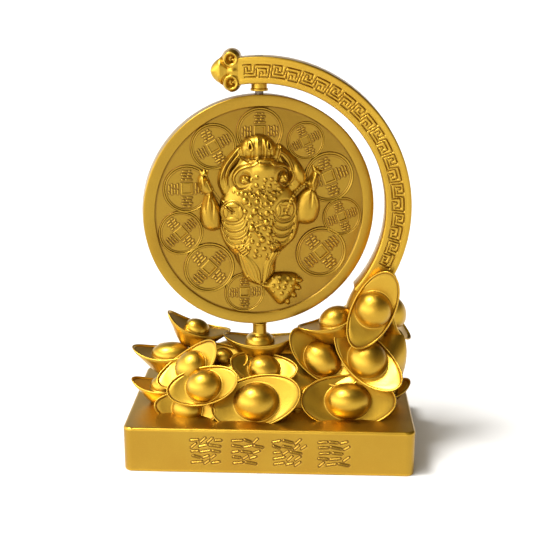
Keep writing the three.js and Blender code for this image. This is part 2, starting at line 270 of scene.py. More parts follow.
class Relief:
    def __init__(self, u0, u1, v0, v1, pitch, floor):
        self.pitch = pitch
        self.us = np.arange(u0, u1 + pitch, pitch)
        self.vs = np.arange(v0, v1 + pitch, pitch)
        self.u, self.v = np.meshgrid(self.us, self.vs)
        self.h = np.full(self.u.shape, float(floor))

    def window(self, u, v, reach):
        """The slice of the grid within reach of the points."""
        i0 = max(0, int((np.min(v) - reach - self.vs[0]) / self.pitch))
        i1 = min(len(self.vs), int((np.max(v) + reach - self.vs[0]) / self.pitch) + 2)
        j0 = max(0, int((np.min(u) - reach - self.us[0]) / self.pitch))
        j1 = min(len(self.us), int((np.max(u) + reach - self.us[0]) / self.pitch) + 2)
        return slice(i0, i1), slice(j0, j1)

    def oval(self, u, v, ru, rv, turn=0.0):
        """The grid round an oval, and the squared distance from its middle, 1 at its edge."""
        part = self.window([u], [v], max(ru, rv) * 1.1)
        c, s = math.cos(math.radians(turn)), math.sin(math.radians(turn))
        du, dv = self.u[part] - u, self.v[part] - v
        return part, ((du * c + dv * s) / ru) ** 2 + ((dv * c - du * s) / rv) ** 2

    def dome(self, u, v, ru, rv, base, rise, turn=0.0, power=0.5, blend=0.4):
        """A rounded lump; power 0.5 gives a ball, more gives a flatter flank."""
        part, q = self.oval(u, v, ru, rv, turn)
        lump = np.where(q < 1, base + rise * np.clip(1 - q, 0, 1) ** power, base - 30 * (q - 1))
        self.h[part] = soft_max(self.h[part], lump, blend)

    def dent(self, u, v, ru, rv, depth):
        """A smooth hollow."""
        part, q = self.oval(u, v, ru, rv)
        self.h[part] -= depth * (1 - np.clip(q, 0, 1)) ** 1.2

    def plateau(self, outline, base, rise, shoulder, blend):
        """A cushion inside a closed outline: its height grows from the edge over the shoulder."""
        outline = np.asarray(outline, float)
        loop = path(np.vstack([outline[-2:], outline, outline[:2]]), 0.7)
        first = np.argmin(np.hypot(*(loop - outline[0]).T))
        last = len(loop) - 1 - np.argmin(np.hypot(*(loop[::-1] - outline[0]).T))
        loop = loop[first:last + 1] if last > first + 3 else loop
        part = self.window(loop[:, 0], loop[:, 1], 0.8)
        u, v = self.u[part], self.v[part]
        sides = list(zip(loop, np.roll(loop, -1, axis=0)))
        away = to_strokes(u, v, sides)
        inside = np.zeros(u.shape, bool)
        for a, b in sides:
            if a[1] != b[1]:
                slope = (b[0] - a[0]) / (b[1] - a[1])
                inside ^= ((a[1] > v) != (b[1] > v)) & (u < slope * (v - a[1]) + a[0])
        t = np.clip(away / shoulder, 0, 1)
        cushion = np.where(inside, base + rise * np.sqrt(1 - (1 - t) ** 2), base - 8 * away)
        self.h[part] = soft_max(self.h[part], cushion, blend)

    def along(self, points):
        """Distance from every grid point near a curve, and the curve's values there."""
        curve = path(points, 0.35)
        reach = float(np.max(curve[:, 2])) * 1.3 + 0.6
        part = self.window(curve[:, 0], curve[:, 1], reach)
        u, v = self.u[part], self.v[part]
        best = np.full(u.shape, FAR)
        values = np.zeros(u.shape + (curve.shape[1] - 2,))
        for a, b in zip(curve[:-1], curve[1:]):
            away, share = to_stroke(u, v, a, b)
            near = away < best
            best = np.where(near, away, best)
            values = np.where(near[..., None], a[2:] + (b[2:] - a[2:]) * share[..., None], values)
        return part, best, values

    def ridge(self, points, blend=0.3):
        """A rounded bar along a curve of (u, v, half width, top height)."""
        part, away, values = self.along(points)
        half, top = values[..., 0], values[..., 1]
        q = (away / np.maximum(half, 0.05)) ** 2
        bar = np.where(q < 1, top - half * (1 - np.sqrt(np.clip(1 - q, 0, 1))),
                       top - half - 6 * (q - 1) * half)
        self.h[part] = soft_max(self.h[part], bar, blend)

    def swell(self, points):
        """Adds a soft ridge along a curve of (u, v, half width, rise)."""
        part, away, values = self.along(points)
        q = np.clip(away / values[..., 0], 0, 1)
        self.h[part] += values[..., 1] * (1 - q * q) ** 2

    def carve(self, points):
        """Cuts a soft groove along a curve of (u, v, half width, depth)."""
        part, away, values = self.along(points)
        q = np.clip(away / values[..., 0], 0, 1)
        self.h[part] -= values[..., 1] * (1 - q * q) ** 1.5

    def bead(self, u, v, radius, proud):
        """A small bead standing proud of whatever lies under it."""
        part = self.window([u], [v], radius * 1.2)
        q = ((self.u[part] - u) ** 2 + (self.v[part] - v) ** 2) / radius ** 2
        under = self.h[part]
        level = under[q < 0.3].mean() if (q < 0.3).any() else under.mean()
        top = level + proud * np.sqrt(np.clip(1 - q, 0, 1))
        self.h[part] = np.where(q < 1, soft_max(under, top - 0.15 * proud, 0.12), under)

    def softened(self, radius):
        """The heights blurred over a radius, for telling hollows from ridges."""
        width = max(1, int(radius / self.pitch))
        out = self.h.copy()
        for _ in range(3):
            for axis in (0, 1):
                pad = [(width, width) if a == axis else (0, 0) for a in (0, 1)]
                sums = np.cumsum(np.pad(out, pad, mode="edge"), axis=axis)
                sums = np.concatenate([np.zeros_like(np.take(sums, [0], axis=axis)), sums], axis=axis)
                count = out.shape[axis]
                high = np.take(sums, np.arange(2 * width + 1, 2 * width + 1 + count), axis=axis)
                low = np.take(sums, np.arange(count), axis=axis)
                out = (high - low) / (2 * width + 1)
        return out


def on_disc(u, v, w):
    """Points of the medallion in the world, from right, up and out of its face."""
    c, s = math.cos(DISC_TURN), math.sin(DISC_TURN)
    return np.stack([AXIS_X + u * c + w * s, u * s - w * c, DISC_Z + v], axis=-1)


# Materials: one metallic gold paint, with a darker copy of it as painted shade on the medallion, and
# steel.

class Tree:
    """A node tree, with short ways to add the nodes used here."""

    def __init__(self, owner):
        owner.use_nodes = True
        self.nodes, self.links = owner.node_tree.nodes, owner.node_tree.links
        self.place = self.nodes.new("ShaderNodeTexCoord")

    def feed(self, node, values):
        """Gives each named socket of a node its value, or links it to another node's output."""
        for socket, value in values.items():
            if isinstance(value, bpy.types.NodeSocket):
                self.links.new(value, node.inputs[socket])
            else:
                node.inputs[socket].default_value = value

    def add(self, kind, values, **settings):
        """A new node of a kind, with its settings made before its sockets are fed."""
        node = self.nodes.new("ShaderNode" + kind)
        for setting, value in settings.items():
            setattr(node, setting, value)
        self.feed(node, values)
        return node

    def noise(self, scale, detail):
        """Noise over the object's own coordinates."""
        values = {"Vector": self.place.outputs["Object"], "Scale": scale, "Detail": detail}
        return self.add("TexNoise", values).outputs["Fac"]

    def mapped(self, source, low, high, to_low, to_high, **settings):
        """A value moved from one range to another."""
        values = {"From Min": low, "From Max": high, "To Min": to_low, "To Max": to_high}
        return self.add("MapRange", {"Value": source, **values}, **settings).outputs["Result"]

    def mixed(self, factor, *colours):
        """Two colours mixed; each is three numbers or another node's output."""
        low, high = [(*c, 1.0) if isinstance(c, tuple) else c for c in colours]
        values = {"Factor": factor, 6: low, 7: high}
        return self.add("Mix", values, data_type="RGBA").outputs[2]

    def bump(self, height, strength, distance, under=None):
        """Bumps from a height, over the bumps given as under."""
        values = {"Strength": strength, "Distance": distance, "Height": height}
        if under is not None:
            values["Normal"] = under
        return self.add("Bump", values).outputs["Normal"]


def metal(name):
    """A metallic material, its node tree and its shader."""
    material = bpy.data.materials.new(name)
    tree = Tree(material)
    shader = tree.nodes["Principled BSDF"]
    shader.inputs["Metallic"].default_value = 1.0
    return material, tree, shader


def gold_paint(name, tone, painted_dark, roughness):
    """Metallic paint with fine flakes, cloudy in tone, and painted shade: a darker colour in recesses
    and creases.
    """
    material, tree, shader = metal(name)
    warm = tuple(c * f for c, f in zip(tone, (0.93, 0.88, 0.78)))
    bright = tuple(c * f for c, f in zip(tone, (1.18, 1.22, 1.6)))
    broad = tree.mapped(tree.noise(45.0, 3.0), 0.35, 0.65, 0.0, 1.0)
    flake = tree.mapped(tree.noise(2600.0, 1.0), 0.56, 0.74, 0.0, 0.35)
    # each point's painted shade, which mixes the colour towards the dark shade colour
    hollow = tree.add("Attribute", {}, attribute_name="painted_shade").outputs["Fac"]
    colour = tree.mixed(flake, tree.mixed(broad, warm, tone), bright)
    colour = tree.mixed(tree.mapped(hollow, 0.0, 1.0, 0.0, 0.9), colour, painted_dark)
    rough = tree.mapped(tree.noise(160.0, 4.0), 0.3, 0.7, roughness - 0.05, roughness + 0.06)
    grain = tree.bump(tree.noise(1150.0, 1.0), 0.12, 0.00025)
    wave = tree.bump(tree.noise(120.0, 2.0), 0.12, 0.001, grain)
    tree.feed(shader, {"Base Color": colour, "Roughness": rough, "Normal": wave,
                       "Coat Weight": 0.3, "Coat Roughness": 0.28})
    return material


def steel_finish(name):
    """Dull steel, a little uneven."""
    material, tree, shader = metal(name)
    grain = tree.noise(700.0, 3.0)
    tree.feed(shader, {"Base Color": tree.mixed(grain, (0.09, 0.07, 0.05), (0.20, 0.17, 0.13)),
                       "Roughness": tree.mapped(grain, 0.0, 1.0, 0.22, 0.34),
                       "Normal": tree.bump(grain, 0.1, 0.0001)})
    return material


GOLD = (0.50, 0.30, 0.023)
# A darker copy of the gold for the medallion, as painted shade.
GOLD_DISC_SHADED = (0.44, 0.265, 0.020)
# The colour that painted shade darkens the gold towards.
PAINTED_SHADE_COLOUR = (0.10, 0.034, 0.003)
paint = gold_paint("gold_paint_fine", GOLD, PAINTED_SHADE_COLOUR, 0.35)
paint_disc_shaded = gold_paint("gold_paint_disc_fine", GOLD_DISC_SHADED, PAINTED_SHADE_COLOUR, 0.36)
steel = steel_finish("steel_fine")


# The heap of ingots.

def ingot(half, ball, shape=(INGOT_WIDTH, INGOT_RISE)):
    """A boat-shaped ingot about its own face, long side along X: a hull, a thin rim lip, a dished
    face and, unless ball is None, an oval dome of the given half length, half width, height and turn.
    The shape is the half width and the rise of the tips, both as fractions of the half length."""
    broad, rise = shape
    across = 88
    angle = full_turn(across)
    cos, sin = np.cos(angle), np.sin(angle)
    # each ring of points also gets painted shade, dark in the crease inside the lip and round the
    # dome's foot
    rings, hollow = [], []

    def ring(x, y, lift, tip, painted_dark):
        rings.append(np.stack([x, y, lift + tip * np.abs(cos) ** TIP_POWER], axis=-1))
        hollow.append(np.full(across, painted_dark))

    def ellipse(a, b, lift, tip, painted_dark=0.0):
        ring(a * cos, b * sin, lift, tip, painted_dark)

    def dome_ring(a, b, lift, tip, painted_dark=0.0):
        reach = a * b / np.hypot(b * np.cos(polar - turn), a * np.sin(polar - turn))
        ring(reach * np.cos(polar), reach * np.sin(polar), lift, tip, painted_dark)

    # hull, from the foot up to just under the rim
    stretch = broad / INGOT_WIDTH
    lifted = rise / INGOT_RISE
    ellipse(0.36, 0.25, -INGOT_DEPTH, 0.0)
    ellipse(0.42, 0.30, -INGOT_DEPTH + 0.015, 0.0)
    hull = path([
        (0.42, 0.30, -0.53, 0.0),
        (0.60, 0.38, -0.38, 0.06),
        (0.78, 0.450, -0.215, 0.15),
        (0.92, 0.495, -0.10, 0.215),
        (0.985, 0.510, -0.035, 0.255),
    ], 0.05)
    for a, b, lift, tip in hull[1:]:
        ellipse(a, b * stretch, lift, tip * lifted)
    # rim lip: a narrow round bead along the edge of the face
    bead = RIM_BEAD / half
    for degrees in (-60, -25, 5, 35, 65, 95, 125, 155, 180):
        t = math.radians(degrees)
        out = bead * (math.cos(t) - 1)
        ellipse(1.0 + out, broad + out, bead * (math.sin(t) - 0.2), rise * (1 + out) ** 2)
    # the inside of the lip, with painted shade
    ellipse(1.0 - 2.4 * bead, broad - 2.4 * bead, -1.1 * bead, rise * (1 - 2.4 * bead) ** 2, 0.5)
    long, wide, top, turn = ball if ball else (0.3, 0.25, 0.0, 0.0)
    turn = math.radians(turn)
    polar = np.arctan2(wide * sin, long * cos)
    inner_long, inner_wide = 1 - 2.6 * bead, broad - 2.6 * bead
    foot_wide = min(wide + 0.035, inner_wide - 0.012)
    for s in (0.12, 0.35, 0.6, 0.85, 1.0):
        a = inner_long + (long + 0.05 - inner_long) * s
        b = inner_wide + (foot_wide - inner_wide) * s
        ellipse(a, b, -0.014 - 0.022 * s, rise * a * a)
    if ball is None:
        for a, b in ((0.2, 0.18), (0.08, 0.07)):
            ellipse(a, b, -0.036, 0.0)
    else:
        foot = rise * long ** 2
        # the dome's foot, with painted shade in the crease round it
        dome_ring(long + 0.020, wide + 0.018, -0.035, foot, 0.1)
        dome_ring(long + 0.008, wide + 0.008, -0.030, foot, 0.35)
        dome_ring(long + 0.001, wide + 0.001, -0.012, foot, 0.3)
        for degrees in (6, 11, 17, 24, 32, 40, 48, 56, 64, 72, 79, 85, 89):
            t = math.radians(degrees)
            dome_ring(long * math.cos(t), wide * math.cos(t), top * math.sin(t) - 0.02,
                      foot * (1 - math.sin(t)))
    return np.concatenate(rings) * half, capped(len(rings), across), np.concatenate(hollow)


PLAIN_BALL = (0.46, 0.42, 0.36, 0)
# Face centre, half length, azimuth, elevation and roll, the dome's half length, half width, height
# and turn on the face, and the shape where it differs.
ingots = [
    # front row
    ((-6.0, -23.0, 28.2), 20.6, (-6, 36, 17), (0.485, 0.42, 0.43, -14), (0.58, 0.08)),
    ((35.0, -20.0, 27.9), 21.5, (3, 32, 0), (0.475, 0.38, 0.42, 0), (0.56, 0.10)),
    ((-29.6, -21.0, 34.4), 16.6, (-12, 35, 17), (0.49, 0.44, 0.42, 0), (0.54, 0.16)),
    ((-37.4, -20.0, 22.5), 14.5, (-10, 20, -4), (0.48, 0.42, 0.38, 0)),
    ((12.2, -15.0, 18.8), 8.5, (0, 30, 0), PLAIN_BALL),
    # left side, up to the free boat at the top left
    ((-36.4, -11.0, 39.8), 16.5, (-28, 36, 46), (0.46, 0.43, 0.37, 0)),
    ((-35.2, 6.0, 52.0), 15.4, (76.5, 72.5, -77.1), (0.38, 0.33, 0.32, 0)),
    ((-47.5, 2.0, 41.2), 17.5, (-65.4, 83.3, 63.5), (0.50, 0.38, 0.30, 0)),
    ((-49.9, -8.0, 28.6), 14.5, (-30.5, 85.5, 26.6), (0.4, 0.34, 0.34, 0)),
    # middle
    ((-3.0, -10.0, 38.8), 15.5, (0, 45, -9), (0.47, 0.43, 0.36, 0)),
    ((-22.3, -4.0, 41.8), 12.5, (-5, 40, -12), (0.38, 0.36, 0.32, 0)),
    ((23.6, -8.0, 43.2), 18.6, (8, 36, -42), (0.48, 0.43, 0.37, 0)),
    # right side, up to the ingot that stands against the arm's foot
    ((29.2, -3.0, 60.2), 17.5, (-75.8, 69.9, 95.5), (0.44, 0.38, 0.38, 0)),
    ((45.7, -10.0, 67.7), 18.6, (-8, 14, 67), (0.435, 0.445, 0.4, 0)),
    ((43.6, -13.0, 45.2), 19.5, (0, 38, -47), (0.46, 0.44, 0.38, 0)),
    ((56.5, 8.0, 60.6), 16.5, (85, 15, -69), PLAIN_BALL),
    ((52.6, 4.0, 35.8), 18.0, (165, 5, -75), PLAIN_BALL),
    ((52.6, -3.0, 26.3), 12.5, (12, 74, 10), PLAIN_BALL),
    # back row, plainer and more regular
    ((-38.0, 20.0, 34.0), 18.0, (196, 38, 8), PLAIN_BALL),
    ((-10.0, 22.0, 33.0), 19.0, (178, 40, -8), PLAIN_BALL),
    ((18.0, 21.0, 31.0), 18.0, (176, 34, 10), PLAIN_BALL),
    ((45.0, 20.0, 31.0), 18.0, (168, 36, -8), PLAIN_BALL),
    ((38.0, 17.0, 46.0), 16.5, (168, 44, 12), PLAIN_BALL),
    # the boat under the stem
    ((AXIS_X, 0.0, 48.7), 17.0, (0, 90, 0), None, (0.52, 0.19)),
]
heap = Casting()
# each ingot's painted shade goes into the heap's mesh
for at, half, look, ball, *shape in ingots:
    points, faces, hollow = ingot(half, ball, *shape)
    basis, centre = facing(at, look)
    heap.add(points @ basis + centre, faces, hollow)
ingot_heap = heap.make("ingot_heap", paint)


# The plinth, with rows of short raised strokes on its front.

PLINTH_STEP = 0.205
# Painted shade on the plinth's walls, which leaves its rounded edges lighter.
WALL_SHADE = 0.24


def stroke_rows():
    """Raised marks in four groups: rows of short slanting dashes that spell nothing."""
    groups = [(-34.0, -20.6), (-15.6, -2.4), (2.0, 16.6), (21.8, 35.2)]
    low, high = 3.7, 16.9
    rows = 5
    marks = []
    rng = np.random.default_rng(11)
    for left, right in groups:
        width = right - left
        for row in range(rows):
            z = high - (row + 0.5) * (high - low) / rows
            start = left + rng.uniform(0.0, 1.2)
            while start < right - 1.6:
                length = min(rng.uniform(1.6, 4.6), right - start)
                lift = rng.uniform(-0.55, 0.55) if length > 2.2 else rng.uniform(0.6, 1.0)
                marks.append(((start, z - lift), (start + length, z + lift)))
                start += length + rng.uniform(1.1, 1.7)
    return marks


def plinth():
    """The oblong plinth, with a fine grid on its front for the strokes."""
    w, d, r = PLINTH_W / 2, PLINTH_D / 2, PLINTH_CORNER
    # the part of the front that has strokes, and the coarser ends beside it
    left, right = -35.5, 36.7
    outline = []
    spots = [np.linspace(-w + r, left, 24)[:-1], np.arange(left, right, PLINTH_STEP),
             np.linspace(right, w - r, 24)]
    for x in np.concatenate(spots):
        outline.append((x, -d, 0.0, -1.0))
    corners = [(w - r, -d + r, -90), (w - r, d - r, 0), (-w + r, d - r, 90), (-w + r, -d + r, 180)]
    for cx, cy, start in corners:
        for degrees in np.linspace(start, start + 90, 13):
            nx, ny = math.cos(math.radians(degrees)), math.sin(math.radians(degrees))
            outline.append((cx + r * nx, cy + r * ny, nx, ny))
    outline = np.array(outline)
    rows = [(0.5, 0.0), (0.12, 0.12), (0.0, 0.5)]
    for z in np.arange(1.0, PLINTH_H - PLINTH_EDGE, PLINTH_STEP):
        rows.append((0.0, z))
    for degrees in range(0, 91, 15):
        a = math.radians(degrees)
        rows.append((PLINTH_EDGE * (1 - math.cos(a)), PLINTH_H - PLINTH_EDGE * (1 - math.sin(a))))
    rows.append((PLINTH_EDGE + 0.6, PLINTH_H))
    rows.append((PLINTH_EDGE + 1.2, PLINTH_H))
    points = []
    for inset, z in rows:
        ring = np.column_stack([
            outline[:, 0] - outline[:, 2] * inset,
            outline[:, 1] - outline[:, 3] * inset,
            np.full(len(outline), z),
        ])
        points.append(ring)
    points = np.concatenate(points)
    # strokes: a thin round bar with a fine sunk line round it
    front = np.isclose(points[:, 1], -d) & (points[:, 2] > 1) & (points[:, 2] < PLINTH_H - 1.5)
    x, z = points[front, 0], points[front, 2]
    away = to_strokes(x, z, stroke_rows())
    proud = 0.34 * (1 - smooth(away, 0.0, 0.40)) - 0.2 * smooth(away, 0.34, 0.5)
    proud = np.where(away < 1.2, proud + 0.2 * smooth(away, 0.6, 0.95), 0.0)
    points[front, 1] -= proud
    # painted shade on the walls, and more in the sunk line round each stroke
    painted_shade = np.zeros(len(points))
    wall = (points[:, 2] > 1) & (points[:, 2] < PLINTH_H - PLINTH_EDGE)
    painted_shade[wall] = WALL_SHADE
    painted_shade[front] = WALL_SHADE + np.clip(-proud / 0.2, 0, 1) * 0.75
    return points, capped(len(rows), len(outline)), painted_shade


# The arm, with a running key pattern sunk in its front face.

KEY_PERIOD = 12.98
KEY_START = 2.49
KEY_REPEATS = 10
KEY_DEPTH = 0.42
# Painted shade in the grooves of the key pattern.
KEY_SHADE = 0.62
# The angle that places are measured from, and the angle the pattern stops at.
KEY_ORIGIN = 101.0
KEY_END = 96.5
ARM_STEP = 0.25
ARM_SECTION_STEP = 0.19
# One repeat of the key: a single groove that winds into a square spiral, out again, into the next
# one from the other side and back, as places along the arm and down from its outer edge.
KEY_TURNS = (
    (
        (1.70, 4.20), (1.28, 9.30), (7.80, 9.45), (7.95, 5.92), (12.15, 6.00), (12.0, 8.15),
    ),
    (
        (10.75, 8.35), (10.70, 7.35), (9.35, 7.45), (9.10, 9.55), (13.05, 9.55), (13.57, 4.50),
        (7.35, 4.45), (6.70, 8.15), (2.60, 7.95), (3.00, 5.30), (4.12, 5.35), (4.15, 6.85),
        (5.55, 7.00), (5.75, 4.30), (1.70, 4.20),
    ),
)


def key_depth(x, down):
    """How deep the key pattern is cut, from the distance along the arm and down from its edge."""
    strokes = [stroke for turn in KEY_TURNS for stroke in zip(turn, turn[1:])]
    away = np.full(x.shape, FAR)
    for repeat in range(-1, KEY_REPEATS):
        start = repeat * KEY_PERIOD + KEY_START
        near = (x > start - 1) & (x < start + KEY_PERIOD + 3)
        away[near] = np.minimum(away[near], to_strokes(x[near] - start, down[near], strokes))
    return 1 - smooth(away, 0.10, 0.36)


def arm():
    """The curved arm, with a fine grid on its front for the key pattern."""
    start, end = ARM_TIP_ANGLE, ARM_ROOT_ANGLE
    count = int(math.radians(start - end) * ARM_MID_R / ARM_STEP)
    angles = np.radians(np.linspace(start, end, count))
    half = ARM_DEPTH / 2
    bevel = ARM_BEVEL
    section = []
    for r in np.arange(ARM_INNER_R + bevel, ARM_OUTER_R - bevel + 1e-6, ARM_SECTION_STEP):
        section.append((r, -half))
    corners = [
        (ARM_OUTER_R - bevel, -half + bevel, -90),
        (ARM_OUTER_R - bevel, half - bevel, 0),
        (ARM_INNER_R + bevel, half - bevel, 90),
        (ARM_INNER_R + bevel, -half + bevel, 180),
    ]
    for cr, cy, first in corners:
        for degrees in np.linspace(first, first + 90, 6)[1:]:
            a = math.radians(degrees)
            section.append((cr + bevel * math.cos(a), cy + bevel * math.sin(a)))
    section = np.array(section[:-1])
    r = np.repeat(section[None, :, 0], count, axis=0)
    y = np.repeat(section[None, :, 1], count, axis=0)
    a = np.repeat(angles[:, None], len(section), axis=1)
    front = np.isclose(y, -half)
    along = (math.radians(KEY_ORIGIN) - a) * ARM_MID_R
    cut = np.zeros(r.shape)
    cut[front] = key_depth(along[front], ARM_OUTER_R + 1.0 - r[front])
    cut[a > math.radians(KEY_END)] = 0
    # the band with the pattern lies a little lower than its two borders
    down = ARM_OUTER_R - r
    band = smooth(down, 1.7, 2.1) * (1 - smooth(down, ARM_OUTER_R - ARM_INNER_R - 2.3, 9.6))
    y = y + np.where(front, KEY_DEPTH * cut + 0.06 * band, 0.0)
    points = np.stack([ARM_CX + r * np.cos(a), y, ARM_CZ + r * np.sin(a)], axis=-1).reshape(-1, 3)
    # painted shade in the key pattern's grooves
    painted_shade = np.where(front, KEY_SHADE * cut, 0.0).reshape(-1)
    return points, capped(count, len(section), flip=True), painted_shade


def ellipsoid(radii, basis, centre):
    """A closed egg shape with its own axes, a little open at the poles."""
    around, rows = 36, 18
    angle = full_turn(around)
    points = []
    for lift in np.linspace(-0.995, 0.995, rows) * math.pi / 2:
        level = np.full(around, math.sin(lift))
        ring = np.column_stack([math.cos(lift) * np.cos(angle), math.cos(lift) * np.sin(angle), level])
        points.append(ring * np.array(radii))
    return np.concatenate(points) @ basis + centre, capped(rows, around)


base = Casting()
base.add(*plinth())
base.add(*arm())
# Mounds that fill the heap between the ingots, as radii and centres.
mounds = [
    ((50, 19, 20), (-2, 3, 22)),
    ((20, 16, 20), (-32, 4, 24)),
    ((20, 15, 26), (36, 4, 30)),
    ((30, 9, 12.5), (-4, 9, 35)),
]
for radii, centre in mounds:
    base.add(*ellipsoid(radii, np.eye(3), np.array(centre, float)))
# A leaning one under the ingots at the right.
basis, centre = facing((45, 2, 66), (-8, 14, 67))
base.add(*ellipsoid((19.5, 10.3, 8), basis, centre))

NECK_TOP = DISC_Z - DISC_R - PIVOT_GAP
stem_profile = rounded([
    (6.8, 44.5),
    (7.0, 47.4),
    (6.8, 49.0),
    (6.1, 50.5),
    (5.0, 51.6),
    (3.8, 52.2),
    (NECK_R, 52.9),
    (NECK_R, 56.6),
    (STEM_R, NECK_TOP - 0.5),
    (STEM_R, NECK_TOP),
    (PIN_R, NECK_TOP),
    (PIN_R, NECK_TOP + 5.4),
    (0.4, NECK_TOP + 5.5),
], 0.35)
base.add(*turned(stem_profile, 48))
sleeve_profile = rounded([
    (2.4, SLEEVE_Z),
    (SLEEVE_LIP_R, SLEEVE_Z),
    (SLEEVE_LIP_R, SLEEVE_Z + 0.8),
    (SLEEVE_R, SLEEVE_Z + 1.15),
    (SLEEVE_R, ARM_CZ + ARM_INNER_R + 1.5),
    (1.0, ARM_CZ + ARM_INNER_R + 1.5),
], 0.2)
base.add(*turned(sleeve_profile, 40))
base_casting = base.make("base_casting", paint)


# The cloud-shaped finial at the arm's free end, skinned from a distance field.

def skin_of(field, low, high, pitch):
    """A quad skin of the zero surface of a field that is negative inside (surface nets)."""
    axes = [np.arange(a, b + pitch, pitch) for a, b in zip(low, high)]
    x, y, z = np.meshgrid(*axes, indexing="ij")
    value = field(x, y, z)
    inside = value < 0
    nx, ny, nz = value.shape
    total = np.zeros((nx - 1, ny - 1, nz - 1, 3))
    hits = np.zeros((nx - 1, ny - 1, nz - 1))
    corners = [(i, j, k) for i in (0, 1) for j in (0, 1) for k in (0, 1)]

    def corner(array, c):
        i, j, k = c
        return array[i:nx - 1 + i, j:ny - 1 + j, k:nz - 1 + k]

    for a in corners:
        for b in corners:
            if sum(b) - sum(a) != 1 or any(q < p for p, q in zip(a, b)):
                continue
            va, vb = corner(value, a), corner(value, b)
            crossing = (va < 0) != (vb < 0)
            t = np.where(crossing, va / np.where(crossing, va - vb, 1.0), 0.0)
            for axis in range(3):
                total[..., axis] += np.where(crossing, a[axis] + (b[axis] - a[axis]) * t, 0.0)
            hits += crossing
    live = hits > 0
    index = np.full(live.shape, -1)
    index[live] = np.arange(live.sum())
    cells = np.argwhere(live)
    points = (cells + total[live] / hits[live][:, None]) * pitch + np.array(low, float)
    faces = []
    for axis in range(3):
        a0 = np.take(inside, np.arange(inside.shape[axis] - 1), axis=axis)
        a1 = np.take(inside, np.arange(1, inside.shape[axis]), axis=axis)
        change = a0 != a1
        others = [k for k in range(3) if k != axis]
        spots = np.argwhere(change)
        ok = np.ones(len(spots), bool)
        for k in others:
            ok &= (spots[:, k] > 0) & (spots[:, k] < inside.shape[k] - 1)
        spots = spots[ok]
        quad = []
        for d0, d1 in ((0, 0), (1, 0), (1, 1), (0, 1)):
            cell = spots.copy()
            cell[:, others[0]] -= d0
            cell[:, others[1]] -= d1
            quad.append(index[cell[:, 0], cell[:, 1], cell[:, 2]])
        quad = np.stack(quad, axis=-1)
        flip = a0[tuple(spots.T)]
        if axis == 1:
            flip = ~flip
        quad[flip] = quad[flip][:, ::-1]
        faces.append(quad)
    return points, np.concatenate(faces).tolist()


# The cloud head's middle height and tip, its two curls as (x, z, side), and its half depth.
CLOUD_Z = 171.7
CLOUD_TIP_X = -26.0
CLOUD_LOBES = ((-17.3, 176.8, 1), (-17.2, 166.8, -1))
CLOUD_LOBE_R = 4.1
CLOUD_HALF = 6.4
CLOUD_STEP = 0.23


def finial_field(x, y, z):
    """A cloud head: two curled lobes, each a thick ring round a hollow, and a pointed tongue."""
    up = z - CLOUD_Z
    reach = np.clip((x - CLOUD_TIP_X) / 6.0, 0.0, 1.4)
    tongue = np.maximum((np.abs(up) - 6.5 * reach ** 0.45) * 0.75, x + 17.0)
    tongue = np.where(x < CLOUD_TIP_X, np.hypot(x - CLOUD_TIP_X, up), tongue)
    neck = np.maximum(np.abs(up) - 4.2, np.maximum(-20.0 - x, x + 12.9))
    flat = soft_min(tongue, neck, 1.2)
    for cx, cz, side in CLOUD_LOBES:
        flat = soft_min(flat, np.hypot(x - cx, z - cz) - CLOUD_LOBE_R, 0.8)
    edge = 3.0
    shape = np.hypot(np.maximum(flat + edge, 0), np.maximum(np.abs(y) - CLOUD_HALF + edge, 0)) - edge
    front = np.clip((-y - 1.5) / 2.5, 0, 1)
    for cx, cz, side in CLOUD_LOBES:
        away = np.hypot(x - cx, z - cz)
        hollow = 2.3 * (1 - smooth(away, 0.9, 2.1))
        bead = 2.0 * (1 - smooth(np.hypot(x - cx - 0.9, z - cz + 0.25 * side), 0.35, 1.15))
        ring = 0.75 * hump(away, 2.75, 0.62)
        crease = 0.7 * hump(away, 3.75, 0.35) * smooth(cx - x, 0.0, 2.0)
        shape += front * (hollow - bead - ring + crease)
    crown = 0.9 * hump(x, -22.0, 1.3) * (1 - smooth(np.abs(up), 2.0, 5.2))
    boss = 0.8 * hump(x, -16.4, 1.5) * hump(up, 0.0, 1.2)
    shape -= front * (crown + boss)
    return shape


cloud_low, cloud_high = (-27.5, -8.6, 161.0), (-11.0, 8.6, 183.0)
points, faces = skin_of(finial_field, cloud_low, cloud_high, CLOUD_STEP)
cloud_finial = make_mesh("cloud_finial", points, faces, paint, sharp=60.0)


# The steel pin.

pin_low = DISC_Z + DISC_R - 5.9
pin_high = ARM_CZ + ARM_OUTER_R + 0.1
pin_profile = rounded([
    (0.5, pin_low),
    (PIN_R, pin_low),
    (PIN_R, pin_high - 0.05),
    (0.5, pin_high),
], 0.25)
points, faces = turned(pin_profile, 48)
steel_pin = make_mesh("steel_pin", points, faces, steel)


# The medallion's plate and coins.

# Painted shade on the sunk ground of the medallion, which makes it darker than its raised work.
FIELD_SHADE = 0.30
COIN_GROUND = 0.42


